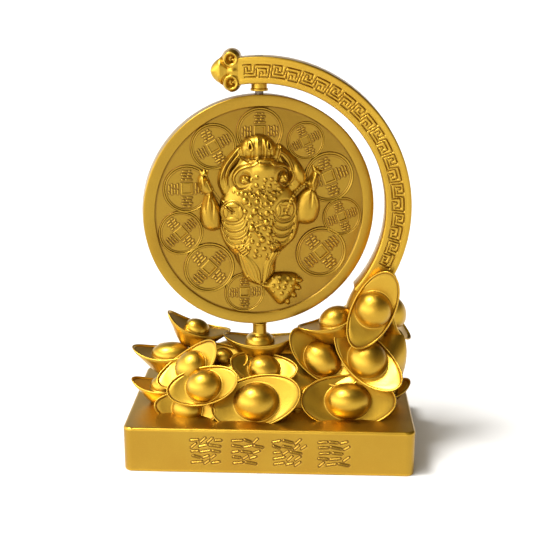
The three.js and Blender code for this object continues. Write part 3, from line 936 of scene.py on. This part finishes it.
def plate():
    """The round plate, with raised rims round its sunk fields, front and back."""
    edge = 0.16
    front = [(0.6, FIELD), (RIM_INNER_R - 0.9, FIELD), (RIM_INNER_R - 0.25, FIELD - 0.1),
             (RIM_INNER_R, FIELD + 0.05), (RIM_INNER_R + edge, DISC_HALF - edge),
             (RIM_INNER_R + 0.5, DISC_HALF), (DISC_R - RIM_BEVEL - 0.3, DISC_HALF)]
    edge_r = 0.5 * RIM_BEVEL
    for degrees in range(10, 91, 16):
        a = math.radians(degrees)
        front.append((DISC_R - edge_r * (1 - math.sin(a)), DISC_HALF - edge_r * (1 - math.cos(a))))
    back = [(r, -w) for r, w in front[::-1]]
    profile = front + back
    segments = 288
    angle = full_turn(segments)
    points = [on_disc(r * np.cos(angle), r * np.sin(angle), np.full(segments, w)) for r, w in profile]
    # painted shade: a little over the whole plate, more on the sunk fields, and most in the groove and
    # the step at the rim's inner edge
    painted_shade = np.full((len(profile), segments), 0.1)
    painted_shade[:2] = FIELD_SHADE
    painted_shade[-2:] = FIELD_SHADE
    painted_shade[2] = 0.7
    painted_shade[3] = 0.5
    painted_shade[-3] = 0.7
    painted_shade[-4] = 0.5
    faces = capped(len(profile), segments, flip=True)
    return np.concatenate(points), faces, painted_shade.reshape(-1)


def coin_bars():
    """Four rows of two short strokes outside each side of a coin's hole."""
    bars = []
    for quarter in range(4):
        c, s = math.cos(quarter * math.pi / 2), math.sin(quarter * math.pi / 2)
        for row, place in enumerate((0.38, 0.50, 0.62, 0.74)):
            split = (-0.06, 0.07, 0.0, -0.02)[(row + quarter) % 4]
            reach = 0.20 - 0.05 * (row % 2)
            for low, high in ((-reach, split - 0.05), (split + 0.05, reach)):
                bars.append([(place * c - y * s, place * s + y * c) for y in (low, high)])
    return bars


def coin(u, v, radius, turn, front=True):
    """A round coin with a double rim, a framed square hole and, on the front, short strokes."""
    around, rows = (140, 58) if front else (96, 40)
    angle = full_turn(around) + np.pi / around
    reach = np.maximum(np.abs(np.cos(angle)), np.abs(np.sin(angle)))
    s = np.concatenate([np.linspace(0.02, 1.0, rows), [1.012, 1.04]])[:, None]
    round_share = smooth(s, 0.22, 0.62)
    size = s * (round_share + (1 - round_share) / reach)
    cu, cv = size * np.cos(angle), size * np.sin(angle)
    r = np.hypot(cu, cv)
    square = np.maximum(np.abs(cu), np.abs(cv))
    # heights above the plate's field, and the painted shade in the creases and round the coin's foot
    height = np.full(r.shape, COIN_GROUND)
    height += 0.34 * smooth(r, 0.925, 0.945) * (1 - smooth(r, 0.985, 1.0))
    height += 0.22 * smooth(r, 0.855, 0.87) * (1 - smooth(r, 0.895, 0.91))
    height += 0.34 * smooth(square, 0.175, 0.19) * (1 - smooth(square, 0.235, 0.255))
    height -= 0.9 * (1 - smooth(square, 0.16, 0.178))
    height -= 0.40 * smooth(r, 0.99, 1.008)
    height[-1] = -0.05
    coin_shade = 0.8 * FIELD_SHADE + 0.85 * hump(r, 0.918, 0.012) + 0.7 * hump(r, 0.845, 0.013)
    coin_shade += 0.6 * hump(square, 0.268, 0.018) + 0.8 * (1 - smooth(square, 0.155, 0.175))
    coin_shade += 0.85 * smooth(r, 0.99, 1.005) * (1 - smooth(r, 1.02, 1.04))
    if front:
        away = to_strokes(cu, cv, coin_bars())
        height += 0.38 * (1 - smooth(away, 0.012, 0.04))
        coin_shade += 0.8 * hump(away, 0.052, 0.016)
    # raised work has less painted shade than the coin's ground
    coin_shade -= 0.8 * FIELD_SHADE * np.clip((height - COIN_GROUND) / 0.3, 0, 1)
    c, n = math.cos(math.radians(turn)), math.sin(math.radians(turn))
    x, y = radius * (cu * c - cv * n), radius * (cu * n + cv * c)
    side = 1 if front else -1
    points = on_disc(u + x, v + y, side * (FIELD + height)).reshape(-1, 3)
    faces = capped(rows + 2, around, flip=front)[:-1]
    return points, faces, np.clip(coin_shade, 0, 0.9).reshape(-1)


points, faces, painted_shade = plate()
medallion_plate = make_mesh("medallion_plate", points, faces, paint_disc_shaded, painted_shade, 45.0)
coins = [
    (-0.4, 35.9, 10.3, 0),
    (-20.7, 29.8, 10.0, 28),
    (-32.5, 11.8, 10.4, 0),
    (-35.5, -7.7, 9.8, 40),
    (-23.3, -24.2, 11.3, 45),
    (-7.4, -36.4, 9.1, 0),
    (27.6, -19.3, 11.6, 40),
    (37.0, -3.3, 8.8, 20),
    (30.7, 14.9, 11.2, 20),
    (20.0, 31.3, 8.4, 25),
]
coin_work = Casting()
for u, v, radius, turn in coins:
    coin_work.add(*coin(u, v, radius, turn))
coin_work.add(*coin(0, 0, 24, 0, front=False))
coin_relief = coin_work.make("coin_relief", paint_disc_shaded, 55.0)


# The toad, seen from above and behind, head up. Places are (u, v) on the medallion's face, right
# and up from its centre, and heights w are out of it.

TOAD_STEP = 0.19
BODY_OUTLINE = (
    (-11, 15), (-17.0, 8.5), (-18.6, 1), (-18.7, -5), (-17.2, -11.2), (-14.9, -15.6), (-12.4, -18.6),
    (-11.0, -21.8), (-9.0, -25), (-8.5, -28), (-7.0, -30.4), (-4.0, -32.4), (0.4, -33.6),
    (3.2, -30.8), (6.4, -27.4), (7.0, -22.8), (8.0, -19.4), (11.6, -16.0), (15.6, -11.8),
    (17.6, -5.4), (17.0, 2), (15.0, 9), (9, 15),
)
HEAD_OUTLINE = (
    (-9.6, 30.2), (-13.6, 26.9), (-16.4, 23.5), (-18.4, 19.2), (-19.2, 14.7), (-18.2, 10.8),
    (-16.3, 8.2), (-9, 6.4), (0, 5.6), (8, 6.6), (14.6, 8.4), (17.8, 11.3), (19.7, 15.6),
    (19.1, 19.2), (16.2, 23.5), (12.2, 27.4), (8.4, 30.4), (3, 30), (-4, 30),
)
MUZZLE_OUTLINE = (
    (-9.4, 29.6), (-8.7, 31.4), (-6.6, 33.2), (-3.6, 34.5), (-0.6, 34.9), (2.6, 34.1), (5.0, 32.4),
    (6.6, 30.2), (6.9, 27.6), (6.2, 24.8), (3, 23.6), (-1, 23.4), (-5, 23.6), (-8.2, 24.8),
    (-9.4, 27.2),
)
LEFT_ARM = (
    (-22.4, 10.8), (-24.6, 9.4), (-26.0, 5.6), (-27.1, 1.6), (-26.9, -2.6), (-25.3, -5.9),
    (-21.8, -7.6), (-18.4, -6.6), (-17.4, -4), (-17.6, 2), (-19.8, 7),
)
RIGHT_ARM = (
    (21.6, 11.2), (24.3, 10.0), (25.5, 7.6), (26.8, 3.4), (26.6, -0.6), (24.9, -4.5),
    (21.4, -6.2), (17.4, -5.6), (15.0, -3), (15.0, 4), (17.4, 8.2),
)
LEFT_HAND = (
    (-22.6, 8.6), (-26.2, 9.8), (-27.8, 13), (-27.7, 16.6), (-26.2, 18.2), (-24.0, 17.2),
    (-22.4, 14.2), (-20.8, 11.0),
)
RIGHT_HAND = (
    (22.4, 8.6), (19.8, 12.6), (21.4, 15), (23.4, 18.2), (25.4, 18), (26, 14), (25.6, 10.6),
    (23.8, 8.2),
)
FOOT_OUTLINE = (
    (-0.4, -33.2), (2.4, -31), (5.6, -28.2), (9.5, -27.7), (16.0, -28.6), (17.4, -31),
    (16.9, -34.6), (15.4, -38), (13, -41), (10.2, -43), (7.8, -42.9), (5.0, -39.8), (1.8, -35.6),
)

def coin_string(field, u, v, lean, outward):
    """Four thin coins laid like scales down a flank; the top one has four petals and a hole."""
    radius = 5.3
    slope = -0.33 * outward
    for number in (3, 2, 1, 0):
        cu = u + lean * number ** 1.4
        cv = v - 3.35 * number
        part = field.window([cu], [cv], radius * 1.1)
        du, dv = field.u[part] - cu, field.v[part] - cv
        r = np.hypot(du, dv)
        plane = 9.2 - 0.42 * number + slope * (field.u[part] - u) + 0.04 * dv
        coin_top = plane - 0.28 * (smooth(r, 4.2, 4.4) - smooth(r, 4.75, 4.95))
        if number == 0:
            petals = np.zeros(r.shape)
            for pu, pv in ((1, 0), (0, 1), (-1, 0), (0, -1)):
                lens = np.maximum(np.hypot(du - 6.6 * pu, dv - 6.6 * pv) - 4.6, r - 4.2)
                petals = np.maximum(petals, 1 - smooth(lens, -0.45, 0.05))
            square = np.maximum(np.abs(du), np.abs(dv))
            coin_top = coin_top - 0.28 + 0.5 * petals
            coin_top = coin_top - 0.5 * (1 - smooth(square, 0.7, 0.95))
        rim = hump(r, radius + 0.35, 0.3) * (dv < 0)
        field.h[part] -= 0.45 * rim
        edge = 1 - smooth(r, radius - 0.12, radius + 0.16)
        field.h[part] = field.h[part] * (1 - edge) + coin_top * edge


def tie(field, start, end, across, count):
    """Wraps of cord side by side from start to end, each a short bar across."""
    for t in np.linspace(0, 1, count):
        u = start[0] + (end[0] - start[0]) * t
        v = start[1] + (end[1] - start[1]) * t
        ends = [(u + side * across[0], v + side * across[1]) for side in (-1, 1)]
        field.swell([(*end, 0.75, 1.0) for end in ends])


def tassel(field, left, right, count):
    """Strands side by side that fill the leaf between two edges, each a round thread."""
    left, right = np.array(left), np.array(right)
    for t in np.linspace(0, 1, count):
        middle = left + (right - left) * t
        half = np.hypot(*(right - left).T) / (1.75 * (count - 1)) + 0.1
        crest = 1.2 * (1 - (2 * t - 1) ** 2)
        top = FIELD + 5.4 + crest - 0.15 * np.clip(-17.5 - middle[:, 1], 0, 20)
        field.ridge([(u, v, h, w) for (u, v), h, w in zip(middle, np.clip(half, 0.3, 1.0), top)], 0.1)


def toad():
    """The toad's relief, and where it stands out of the plate."""
    field = Relief(-29.5, 29.5, -45.0, 36.5, TOAD_STEP, FIELD - 0.6)
    F = FIELD

    # head: a skirt of lips and cheeks, the crown, and a fluted muzzle over it
    field.plateau(HEAD_OUTLINE, F - 0.3, 3.6, 3.4, 0.3)
    field.plateau(BODY_OUTLINE, F - 0.3, 8.0, 13.0, 0.5)
    tail = F + 8.0 - 0.26 * np.clip(-11.0 - field.v, 0, 30) - 0.012 * (field.u + 1.0) ** 2
    field.h = soft_min(field.h, tail, 0.6)

    # hands and arms, each a leaf that swells to its middle
    field.plateau(LEFT_HAND, F - 0.3, 3.6, 2.9, 0.3)
    field.plateau(RIGHT_HAND, F - 0.3, 3.8, 2.9, 0.3)
    field.plateau(LEFT_ARM, F - 0.3, 5.2, 5.0, 0.3)
    field.plateau(RIGHT_ARM, F - 0.3, 5.2, 5.2, 0.3)
    field.dome(-0.6, 16.4, 13.2, 10.4, F, 7.6, power=0.5, blend=0.7)
    field.dome(0.7, 19.8, 6.8, 6.2, F + 2.6, 6.2, power=0.6, blend=1.2)
    field.plateau(MUZZLE_OUTLINE, F + 0.3, 5.9, 5.2, 0.5)

    # leg and foot
    field.plateau(FOOT_OUTLINE, F - 0.3, 4.6, 5.0, 0.4)
    for tip, heel in (((19.3, -32.3), (15.8, -31.2)), ((18.6, -36.0), (15.2, -34.2)),
                      ((16.5, -39.7), (13.4, -37.4)), ((13.2, -43.0), (11.0, -40.2))):
        middle = [0.35 * h + 0.65 * t for h, t in zip(heel, tip)]
        field.ridge([(*heel, 1.35, F + 3.3), (*middle, 1.15, F + 2.9), (*tip, 0.3, F + 0.9)], 0.3)

    # muzzle: flutes, nostrils, and the middle rib
    for u, top, foot, half, depth in ((-7.4, 29.4, 25.6, 0.6, 0.35), (-5.0, 28.4, 24.8, 0.5, 0.4),
                                      (-3.6, 32.6, 24.8, 0.5, 0.35), (-0.2, 33.8, 25.4, 0.9, 0.75),
                                      (2.0, 29.8, 24.8, 0.45, 0.35), (3.8, 30.0, 25.2, 0.55, 0.5),
                                      (5.4, 29.4, 25.6, 0.5, 0.35)):
        field.carve([(u * 0.92, top, 0.3, 0.1), (u, (top + foot) / 2, half, depth),
                     (u, foot, half, depth)])
    field.swell([(-2.0, 34.0, 0.9, 0.3), (-2.2, 30, 1.1, 0.6), (-2.3, 25.5, 1.0, 0.5)])
    field.swell([(0.9, 33.0, 0.6, 0.3), (1.2, 29, 0.7, 0.5), (1.2, 25.5, 0.6, 0.4)])
    for u, side in ((-5.5, -1), (2.9, 1)):
        field.swell([(u - 1.0, 29.4, 0.7, 0.5), (u, 32.4, 0.7, 0.45), (u + 1.0, 29.6, 0.7, 0.5),
                     (u, 28.4, 0.7, 0.4), (u - 1.0, 29.4, 0.7, 0.5)])
        field.carve([(u, 31.4, 0.3, 0.6), (u, 30, 0.6, 1.4), (u, 29.3, 0.5, 0.8)])

    # fold between the muzzle and the brow
    field.carve([(-9, 25.4, 0.8, 0.8), (-5.6, 23.4, 0.8, 0.8), (-3.6, 23.6, 0.5, 0.1)])
    field.carve([(-0.8, 23.3, 0.7, 0.8), (2.6, 22.9, 0.9, 1.1), (6.2, 23.4, 0.8, 0.9)])
    field.swell([(-5.8, 23.2, 0.9, 0.5), (-3.4, 24.3, 1.1, 1.2), (-2.0, 25.2, 0.9, 0.9)])

    # eyes: deep sockets under curled lids, with a ball in each
    for side, eu in ((-1, -8.1), (1, 9.6)):
        field.dent(eu, 16.2, 3.7, 4.0, 1.9)
        field.dome(eu + side * -0.4, 15.9, 2.6, 2.8, F + 3.0, 4.0, power=0.7, blend=0.5)
        for du, dv, size in ((-0.6, 1.0, 0.75), (0.9, 0.9, 0.7), (-1.0, -0.7, 0.8), (0.5, -0.6, 0.7)):
            field.bead(eu - side * 0.4 + du, 15.9 + dv, size, 0.6)
        lid = [(12.2, 13.4, 0.7, 0.7), (13.0, 15.4, 0.85, 1.2), (12.8, 17.8, 0.95, 1.5),
               (10.9, 20.3, 1.0, 1.5), (8.0, 21.7, 1.05, 1.5), (5.2, 22.3, 0.9, 1.2),
               (3.0, 23.4, 0.8, 0.6)]
        field.swell([(side * u + 0.5, v, half, rise) for u, v, half, rise in lid])
        field.carve([(side * 12.6 + 0.5, 13.6, 0.5, 0.6), (side * 10.8 + 0.5, 11.9, 0.55, 0.9),
                     (side * 8.4 + 0.8, 12.2, 0.5, 0.8), (side * 6.6 + 0.8, 13.6, 0.4, 0.02)])

    # lips: two folds on the left, broad cheek on the right, and the dark corners of the mouth
    field.swell([(-9.9, 29.4, 0.6, 0.9), (-12.4, 26.8, 0.8, 1.3), (-15.6, 22.8, 0.9, 1.4),
                 (-17.6, 18.6, 0.9, 1.3), (-18.2, 14.6, 0.8, 0.8), (-17.4, 11.4, 0.7, 0.4)])
    field.carve([(-10.6, 27.6, 0.5, 0.5), (-13.2, 24.4, 0.6, 0.6), (-15.6, 20.6, 0.6, 0.6),
                 (-16.8, 16.6, 0.5, 0.4), (-16.4, 12.4, 0.5, 0.2)])
    field.swell([(-10.2, 26.4, 0.5, 0.8), (-12.7, 23.7, 0.6, 1.1), (-14.9, 20.6, 0.6, 1.1),
                 (-15.8, 17.2, 0.6, 0.9), (-15.4, 13.6, 0.6, 0.5)])
    field.carve([(-10.0, 24.6, 0.6, 1.2), (-11.2, 22.8, 0.8, 2.0), (-12.6, 21.0, 0.8, 2.2),
                 (-13.9, 19.0, 0.6, 1.2), (-14.7, 16.0, 0.5, 0.5), (-14.2, 12.8, 0.5, 0.2)])
    field.swell([(8.3, 30.0, 0.6, 1.4), (8.0, 27.6, 0.7, 1.4), (7.2, 24.6, 0.7, 1.0)])
    field.swell([(8.8, 27.2, 0.6, 0.9), (11.0, 25.4, 0.7, 1.1), (12.6, 23.0, 0.7, 1.1),
                 (13.9, 19.6, 0.7, 0.9), (14.4, 15.4, 0.6, 0.5)])
    field.carve([(8.6, 25.2, 0.5, 0.6), (10.4, 22.6, 0.8, 2.0), (11.8, 20.6, 0.7, 1.6),
                 (13.2, 16.6, 0.5, 0.5), (13.2, 12.6, 0.5, 0.2)])
    field.dome(16.6, 17.2, 3.0, 5.6, F + 1.4, 3.6, turn=20, power=0.6, blend=0.8)

    # cord and bead chain to the strings of coins, over the arms
    tie(field, (-10.9, -13.6), (-7.4, -17.0), (0.85, 0.75), 5)
    coin_string(field, -13.1, 1.7, 0.44, -1)
    coin_string(field, 10.0, 1.9, -0.34, 1)
    cord = np.array([(-23.4, 15.4), (-22.0, 12.2), (-20.6, 9.8), (-17.6, 5.8), (-13.3, 1.9)])
    for side in (-1, 1):
        field.swell([(u + 0.36 * side, v + 0.30 * side, 0.5, 0.75) for u, v in cord])
    chain = path([(22.0, 19.6), (20.6, 16.6), (19.8, 13.4), (16.2, 9.8), (13.2, 6.5), (11.4, 3.2),
                  (10.2, 0.6)], 1.25)
    for u, v in chain:
        field.bead(u, v, 0.98, 1.2)

    # tassels under the ties
    tassel(field, ((-10.2, -17.6), (-9.0, -21.6), (-7.8, -25.4), (-5.4, -29.6), (-1.4, -31.8)),
           ((-6.4, -18.6), (-2.8, -21.8), (-0.6, -25.6), (-0.3, -29.4), (-0.5, -31.6)), 6)
    tie(field, (3.9, -15.2), (7.0, -13.0), (0.75, -1.0), 6)
    tassel(field, ((2.2, -17.6), (0.6, -21.8), (0.1, -25.6), (0.1, -28.6), (0.2, -31.2)),
           ((7.4, -17.2), (4.5, -21.8), (3.6, -25.6), (2.8, -28.6), (1.1, -31.2)), 5)

    # big beads on the back, joined by bars
    stars = [(-1.9, 10.3), (-7.9, 6.7), (-2.8, 6.2), (-3.9, 2.1), (1.5, 1.0), (1.2, -2.9),
             (-5.2, -5.3), (-0.5, -10.6)]
    for a, b in (((-2.1, 10.3), (3.4, 5.6)), ((-3.9, 2.1), (1.2, -2.9)), ((-5.2, -5.3), (1.2, -2.9)),
                 ((-5.2, -5.3), (-0.5, -10.6))):
        field.swell([(*a, 0.7, 0.7), (*b, 0.7, 0.7)])
    for number, (u, v) in enumerate(stars):
        field.dent(u, v, 1.9, 1.9, 0.35)
        field.bead(u, v, 1.5 if number != 2 else 1.2, 1.45)

    # warts, smaller towards the edge
    warts = [(-5.0, 15.9), (-2.9, 17.2), (0.8, 16.1), (3.6, 16.1), (-3.0, 13.6), (0.0, 12.6),
             (2.8, 13.2), (5.6, 14.4), (-5.4, 11.8), (4.7, 9.9), (-6.0, 5.0), (-8.0, 2.2),
             (-1.2, -0.8), (1.2, 5.1), (3.6, 5.4), (5.2, 7.1), (-5.4, -0.3), (-2.8, -5.9),
             (-6.0, -8.5), (-5.0, -11.3), (0.4, -5.7), (2.9, -5.3), (2.2, -8.4), (2.4, -12.1),
             (-2.2, -12.9), (-6.3, -14.3), (-3.1, -15.9), (0.4, -14.9), (-8.6, -11.4), (4.6, -8.8),
             (-1.6, -8.4), (-3.4, -18.4), (3.8, 1.4), (-4.6, 8.6), (0.8, 8.4), (7.4, 11.4)]
    for u, v in warts:
        field.bead(u, v, 1.0, 1.05)
    for k in range(13):
        u = -12.6 + 1.75 * k
        field.bead(u, 10.6 - 0.9 * math.cos((u + 1) * 0.12) - 0.5 * (k % 2), 0.62, 0.7)
    rng = np.random.default_rng(5)
    for u, v in rng.uniform((-9, -20), (7, 15), (110, 2)):
        clear = np.min(np.hypot(*(np.array(warts + stars) - (u, v)).T)) > 1.7
        if clear and abs(u + 1) < 7.6 - 0.012 * (v + 2) ** 2:
            field.bead(u, v, 0.6, 0.6)
    for u, v, radius in ((5.1, -29.9, 0.85), (8.2, -29.3, 0.6), (7.7, -31.4, 1.0), (10.9, -32.0, 1.0),
                         (5.2, -33.0, 0.8), (7.4, -34.0, 0.9), (10.1, -34.1, 0.95), (12.1, -29.9, 0.75),
                         (14.7, -30.5, 0.75), (13.3, -33.6, 0.7), (8.9, -36.7, 0.9), (5.3, -36.0, 0.55),
                         (11.8, -36.5, 0.6), (2.2, -31.9, 0.5), (-6.4, -28.2, 0.7)):
        field.bead(u, v, radius, 0.95 * radius)

    # facets on the arms
    field.swell([(-23.2, 9.0, 0.7, 0.1), (-23.6, 7.0, 1.0, 0.8), (-24.0, 3.6, 1.3, 0.7),
                 (-23.4, -0.6, 1.2, 0.02)])
    field.carve([(-22.4, 7.6, 0.6, 0.02), (-21.8, 5.0, 0.9, 0.7), (-22.0, 1.6, 1.0, 0.5),
                 (-22.2, -2.4, 0.8, 0.02)])
    field.carve([(22.6, 9.6, 0.5, 0.02), (22.2, 7.8, 0.9, 0.8), (21.8, 5.0, 1.1, 0.6),
                 (21.4, 1.6, 0.9, 0.02)])
    field.swell([(23.4, 9.6, 0.6, 0.05), (24.3, 7.0, 0.8, 0.7), (25.2, 4.0, 0.9, 0.5),
                 (25.4, 1.0, 0.7, 0.02)])
    field.swell([(-25.6, 17.0, 0.8, 0.1), (-25.9, 14.4, 1.2, 0.8), (-25.2, 11.2, 1.1, 0.05)])
    field.swell([(24.6, 17.0, 0.8, 0.1), (22.8, 13.8, 1.2, 1.0), (22.8, 10.6, 1.0, 0.05)])

    # claws of the hands
    for side, points in ((-1, ((-26.6, 19.6), (-24.9, 20.2), (-23.4, 19.6))),
                         (1, ((23.3, 20.3), (25.3, 19.6), (27.3, 18.0)))):
        for u, v in points:
            field.ridge([(0.5 * u + 0.5 * side * 24.8, 0.55 * v + 0.45 * 16.4, 0.95, F + 2.7),
                         (u, v, 0.45, F + 1.4)], 0.3)
    keep = field.h > FIELD - 0.35
    return field, keep


field, keep = toad()
cell = keep[:-1, :-1] | keep[1:, :-1] | keep[:-1, 1:] | keep[1:, 1:]
points = on_disc(field.u, field.v, field.h).reshape(-1, 3)
faces = sheet_faces(*field.h.shape, cell)[:, ::-1]
# painted shade in the hollows of the relief, and along its foot where it meets the plate
painted_shade = 0.6 * np.clip((field.softened(0.5) - field.h - 0.02) / 0.35, 0, 1)
painted_foot_shade = 0.7 * (1 - smooth(field.h - FIELD, 0.0, 0.8))
painted_shade = np.maximum(painted_shade, painted_foot_shade).reshape(-1)
points, faces, used = packed(points, faces)
toad_relief = make_mesh("toad_relief", points, faces.tolist(), paint_disc_shaded, painted_shade[used], 80.0)


for piece in (ingot_heap, base_casting, cloud_finial):
    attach(piece, "base")
    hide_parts("cast_base")
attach(steel_pin, "base")
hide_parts("top_pin")
for piece in (medallion_plate, coin_relief, toad_relief):
    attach(piece, "disc")
    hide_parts("medallion")


# The room: a wide pale floor, a dim surround and a long soft strip of light.

FLOOR_REACH = 30000.0
FLOOR_Z = -0.02
# Where each part of the strip is seen from the object, its power and its width in degrees.
STRIP = (
    ((-0.42, -0.10, 0.90), 3.3, 16.0),
    ((-0.44, -0.42, 0.80), 0.7, 16.0),
    ((-0.06, -0.40, 0.91), 0.25, 14.0),
)
# How light the surround is at the left, and what is left of that at the right, behind and above.
ROOM_LEFT = 4.2
ROOM_RIGHT = 0.5
ROOM_BEHIND = 0.3
ROOM_ABOVE = 0.22


def floor_finish():
    """A pale matt floor."""
    material = bpy.data.materials.new("pale_floor")
    material.use_nodes = True
    shader = material.node_tree.nodes["Principled BSDF"]
    shader.inputs["Base Color"].default_value = (0.80, 0.795, 0.78, 1.0)
    shader.inputs["Roughness"].default_value = 0.6
    return material


floor_sides = [(-1, -1), (1, -1), (1, 1), (-1, 1)]
floor_points = [(x * FLOOR_REACH, y * FLOOR_REACH, FLOOR_Z) for x, y in floor_sides]
floor = make_mesh("floor", floor_points, [[0, 1, 2, 3]], floor_finish())


def strip_light():
    """A long soft strip that runs front to back overhead on the left, as three wide lamps."""
    for number, (towards, power, width) in enumerate(STRIP):
        data = bpy.data.lights.new("strip_%d" % number, "SUN")
        data.energy = power
        data.angle = math.radians(width)
        light = bpy.data.objects.new("strip_%d" % number, data)
        light.rotation_euler = Vector(towards).to_track_quat("Z", "Y").to_euler()
        bpy.context.scene.collection.objects.link(light)


def surround():
    """A dim room, lighter towards the front left, where a window would be."""
    world = bpy.data.worlds.new("dim_surround")
    bpy.context.scene.world = world
    tree = Tree(world)
    split = tree.add("SeparateXYZ", {"Vector": tree.place.outputs["Generated"]})

    def shade(axis, *limits):
        return tree.mapped(split.outputs[axis], *limits, interpolation_type="SMOOTHSTEP")

    def joined(a, b, operation):
        return tree.add("Math", {0: a, 1: b}, operation=operation).outputs["Value"]

    side = shade("X", -0.75, 0.5, ROOM_LEFT, ROOM_RIGHT)
    height = shade("Z", 0.25, 0.7, 1.0, ROOM_ABOVE)
    depth = shade("Y", -0.3, 0.6, 1.0, ROOM_BEHIND)
    green = shade("X", -0.4, 0.5, 1.0, 0.80)
    blue = shade("X", -0.4, 0.5, 1.0, 0.45)
    warm = tree.add("CombineColor", {"Red": 1.0, "Green": green, "Blue": blue}).outputs["Color"]
    # a thin white backdrop just over the horizon, so that the floor runs on without a seam
    backdrop = shade("Z", 0.10, 0.20, 1.0, 0.0)
    level = joined(joined(side, depth, "MULTIPLY"), height, "MULTIPLY")
    tree.feed(tree.nodes["Background"], {"Color": tree.mixed(backdrop, warm, (1.0, 1.0, 1.0)),
                                         "Strength": joined(level, backdrop, "MAXIMUM")})


strip_light()
surround()

bpy.context.scene.view_settings.view_transform = "Standard"

camera_data = bpy.data.cameras.new("camera")
camera_data.sensor_width = 36.0
camera_data.lens = 67.54
camera_data.clip_start = 0.01
camera_data.clip_end = 50.0
camera = bpy.data.objects.new("camera", camera_data)
camera.location = (0.01629, -0.43492, 0.20762)
camera.rotation_euler = (math.radians(90 - 15.823), 0.0, math.radians(2.453))
bpy.context.scene.collection.objects.link(camera)
bpy.context.scene.camera = camera
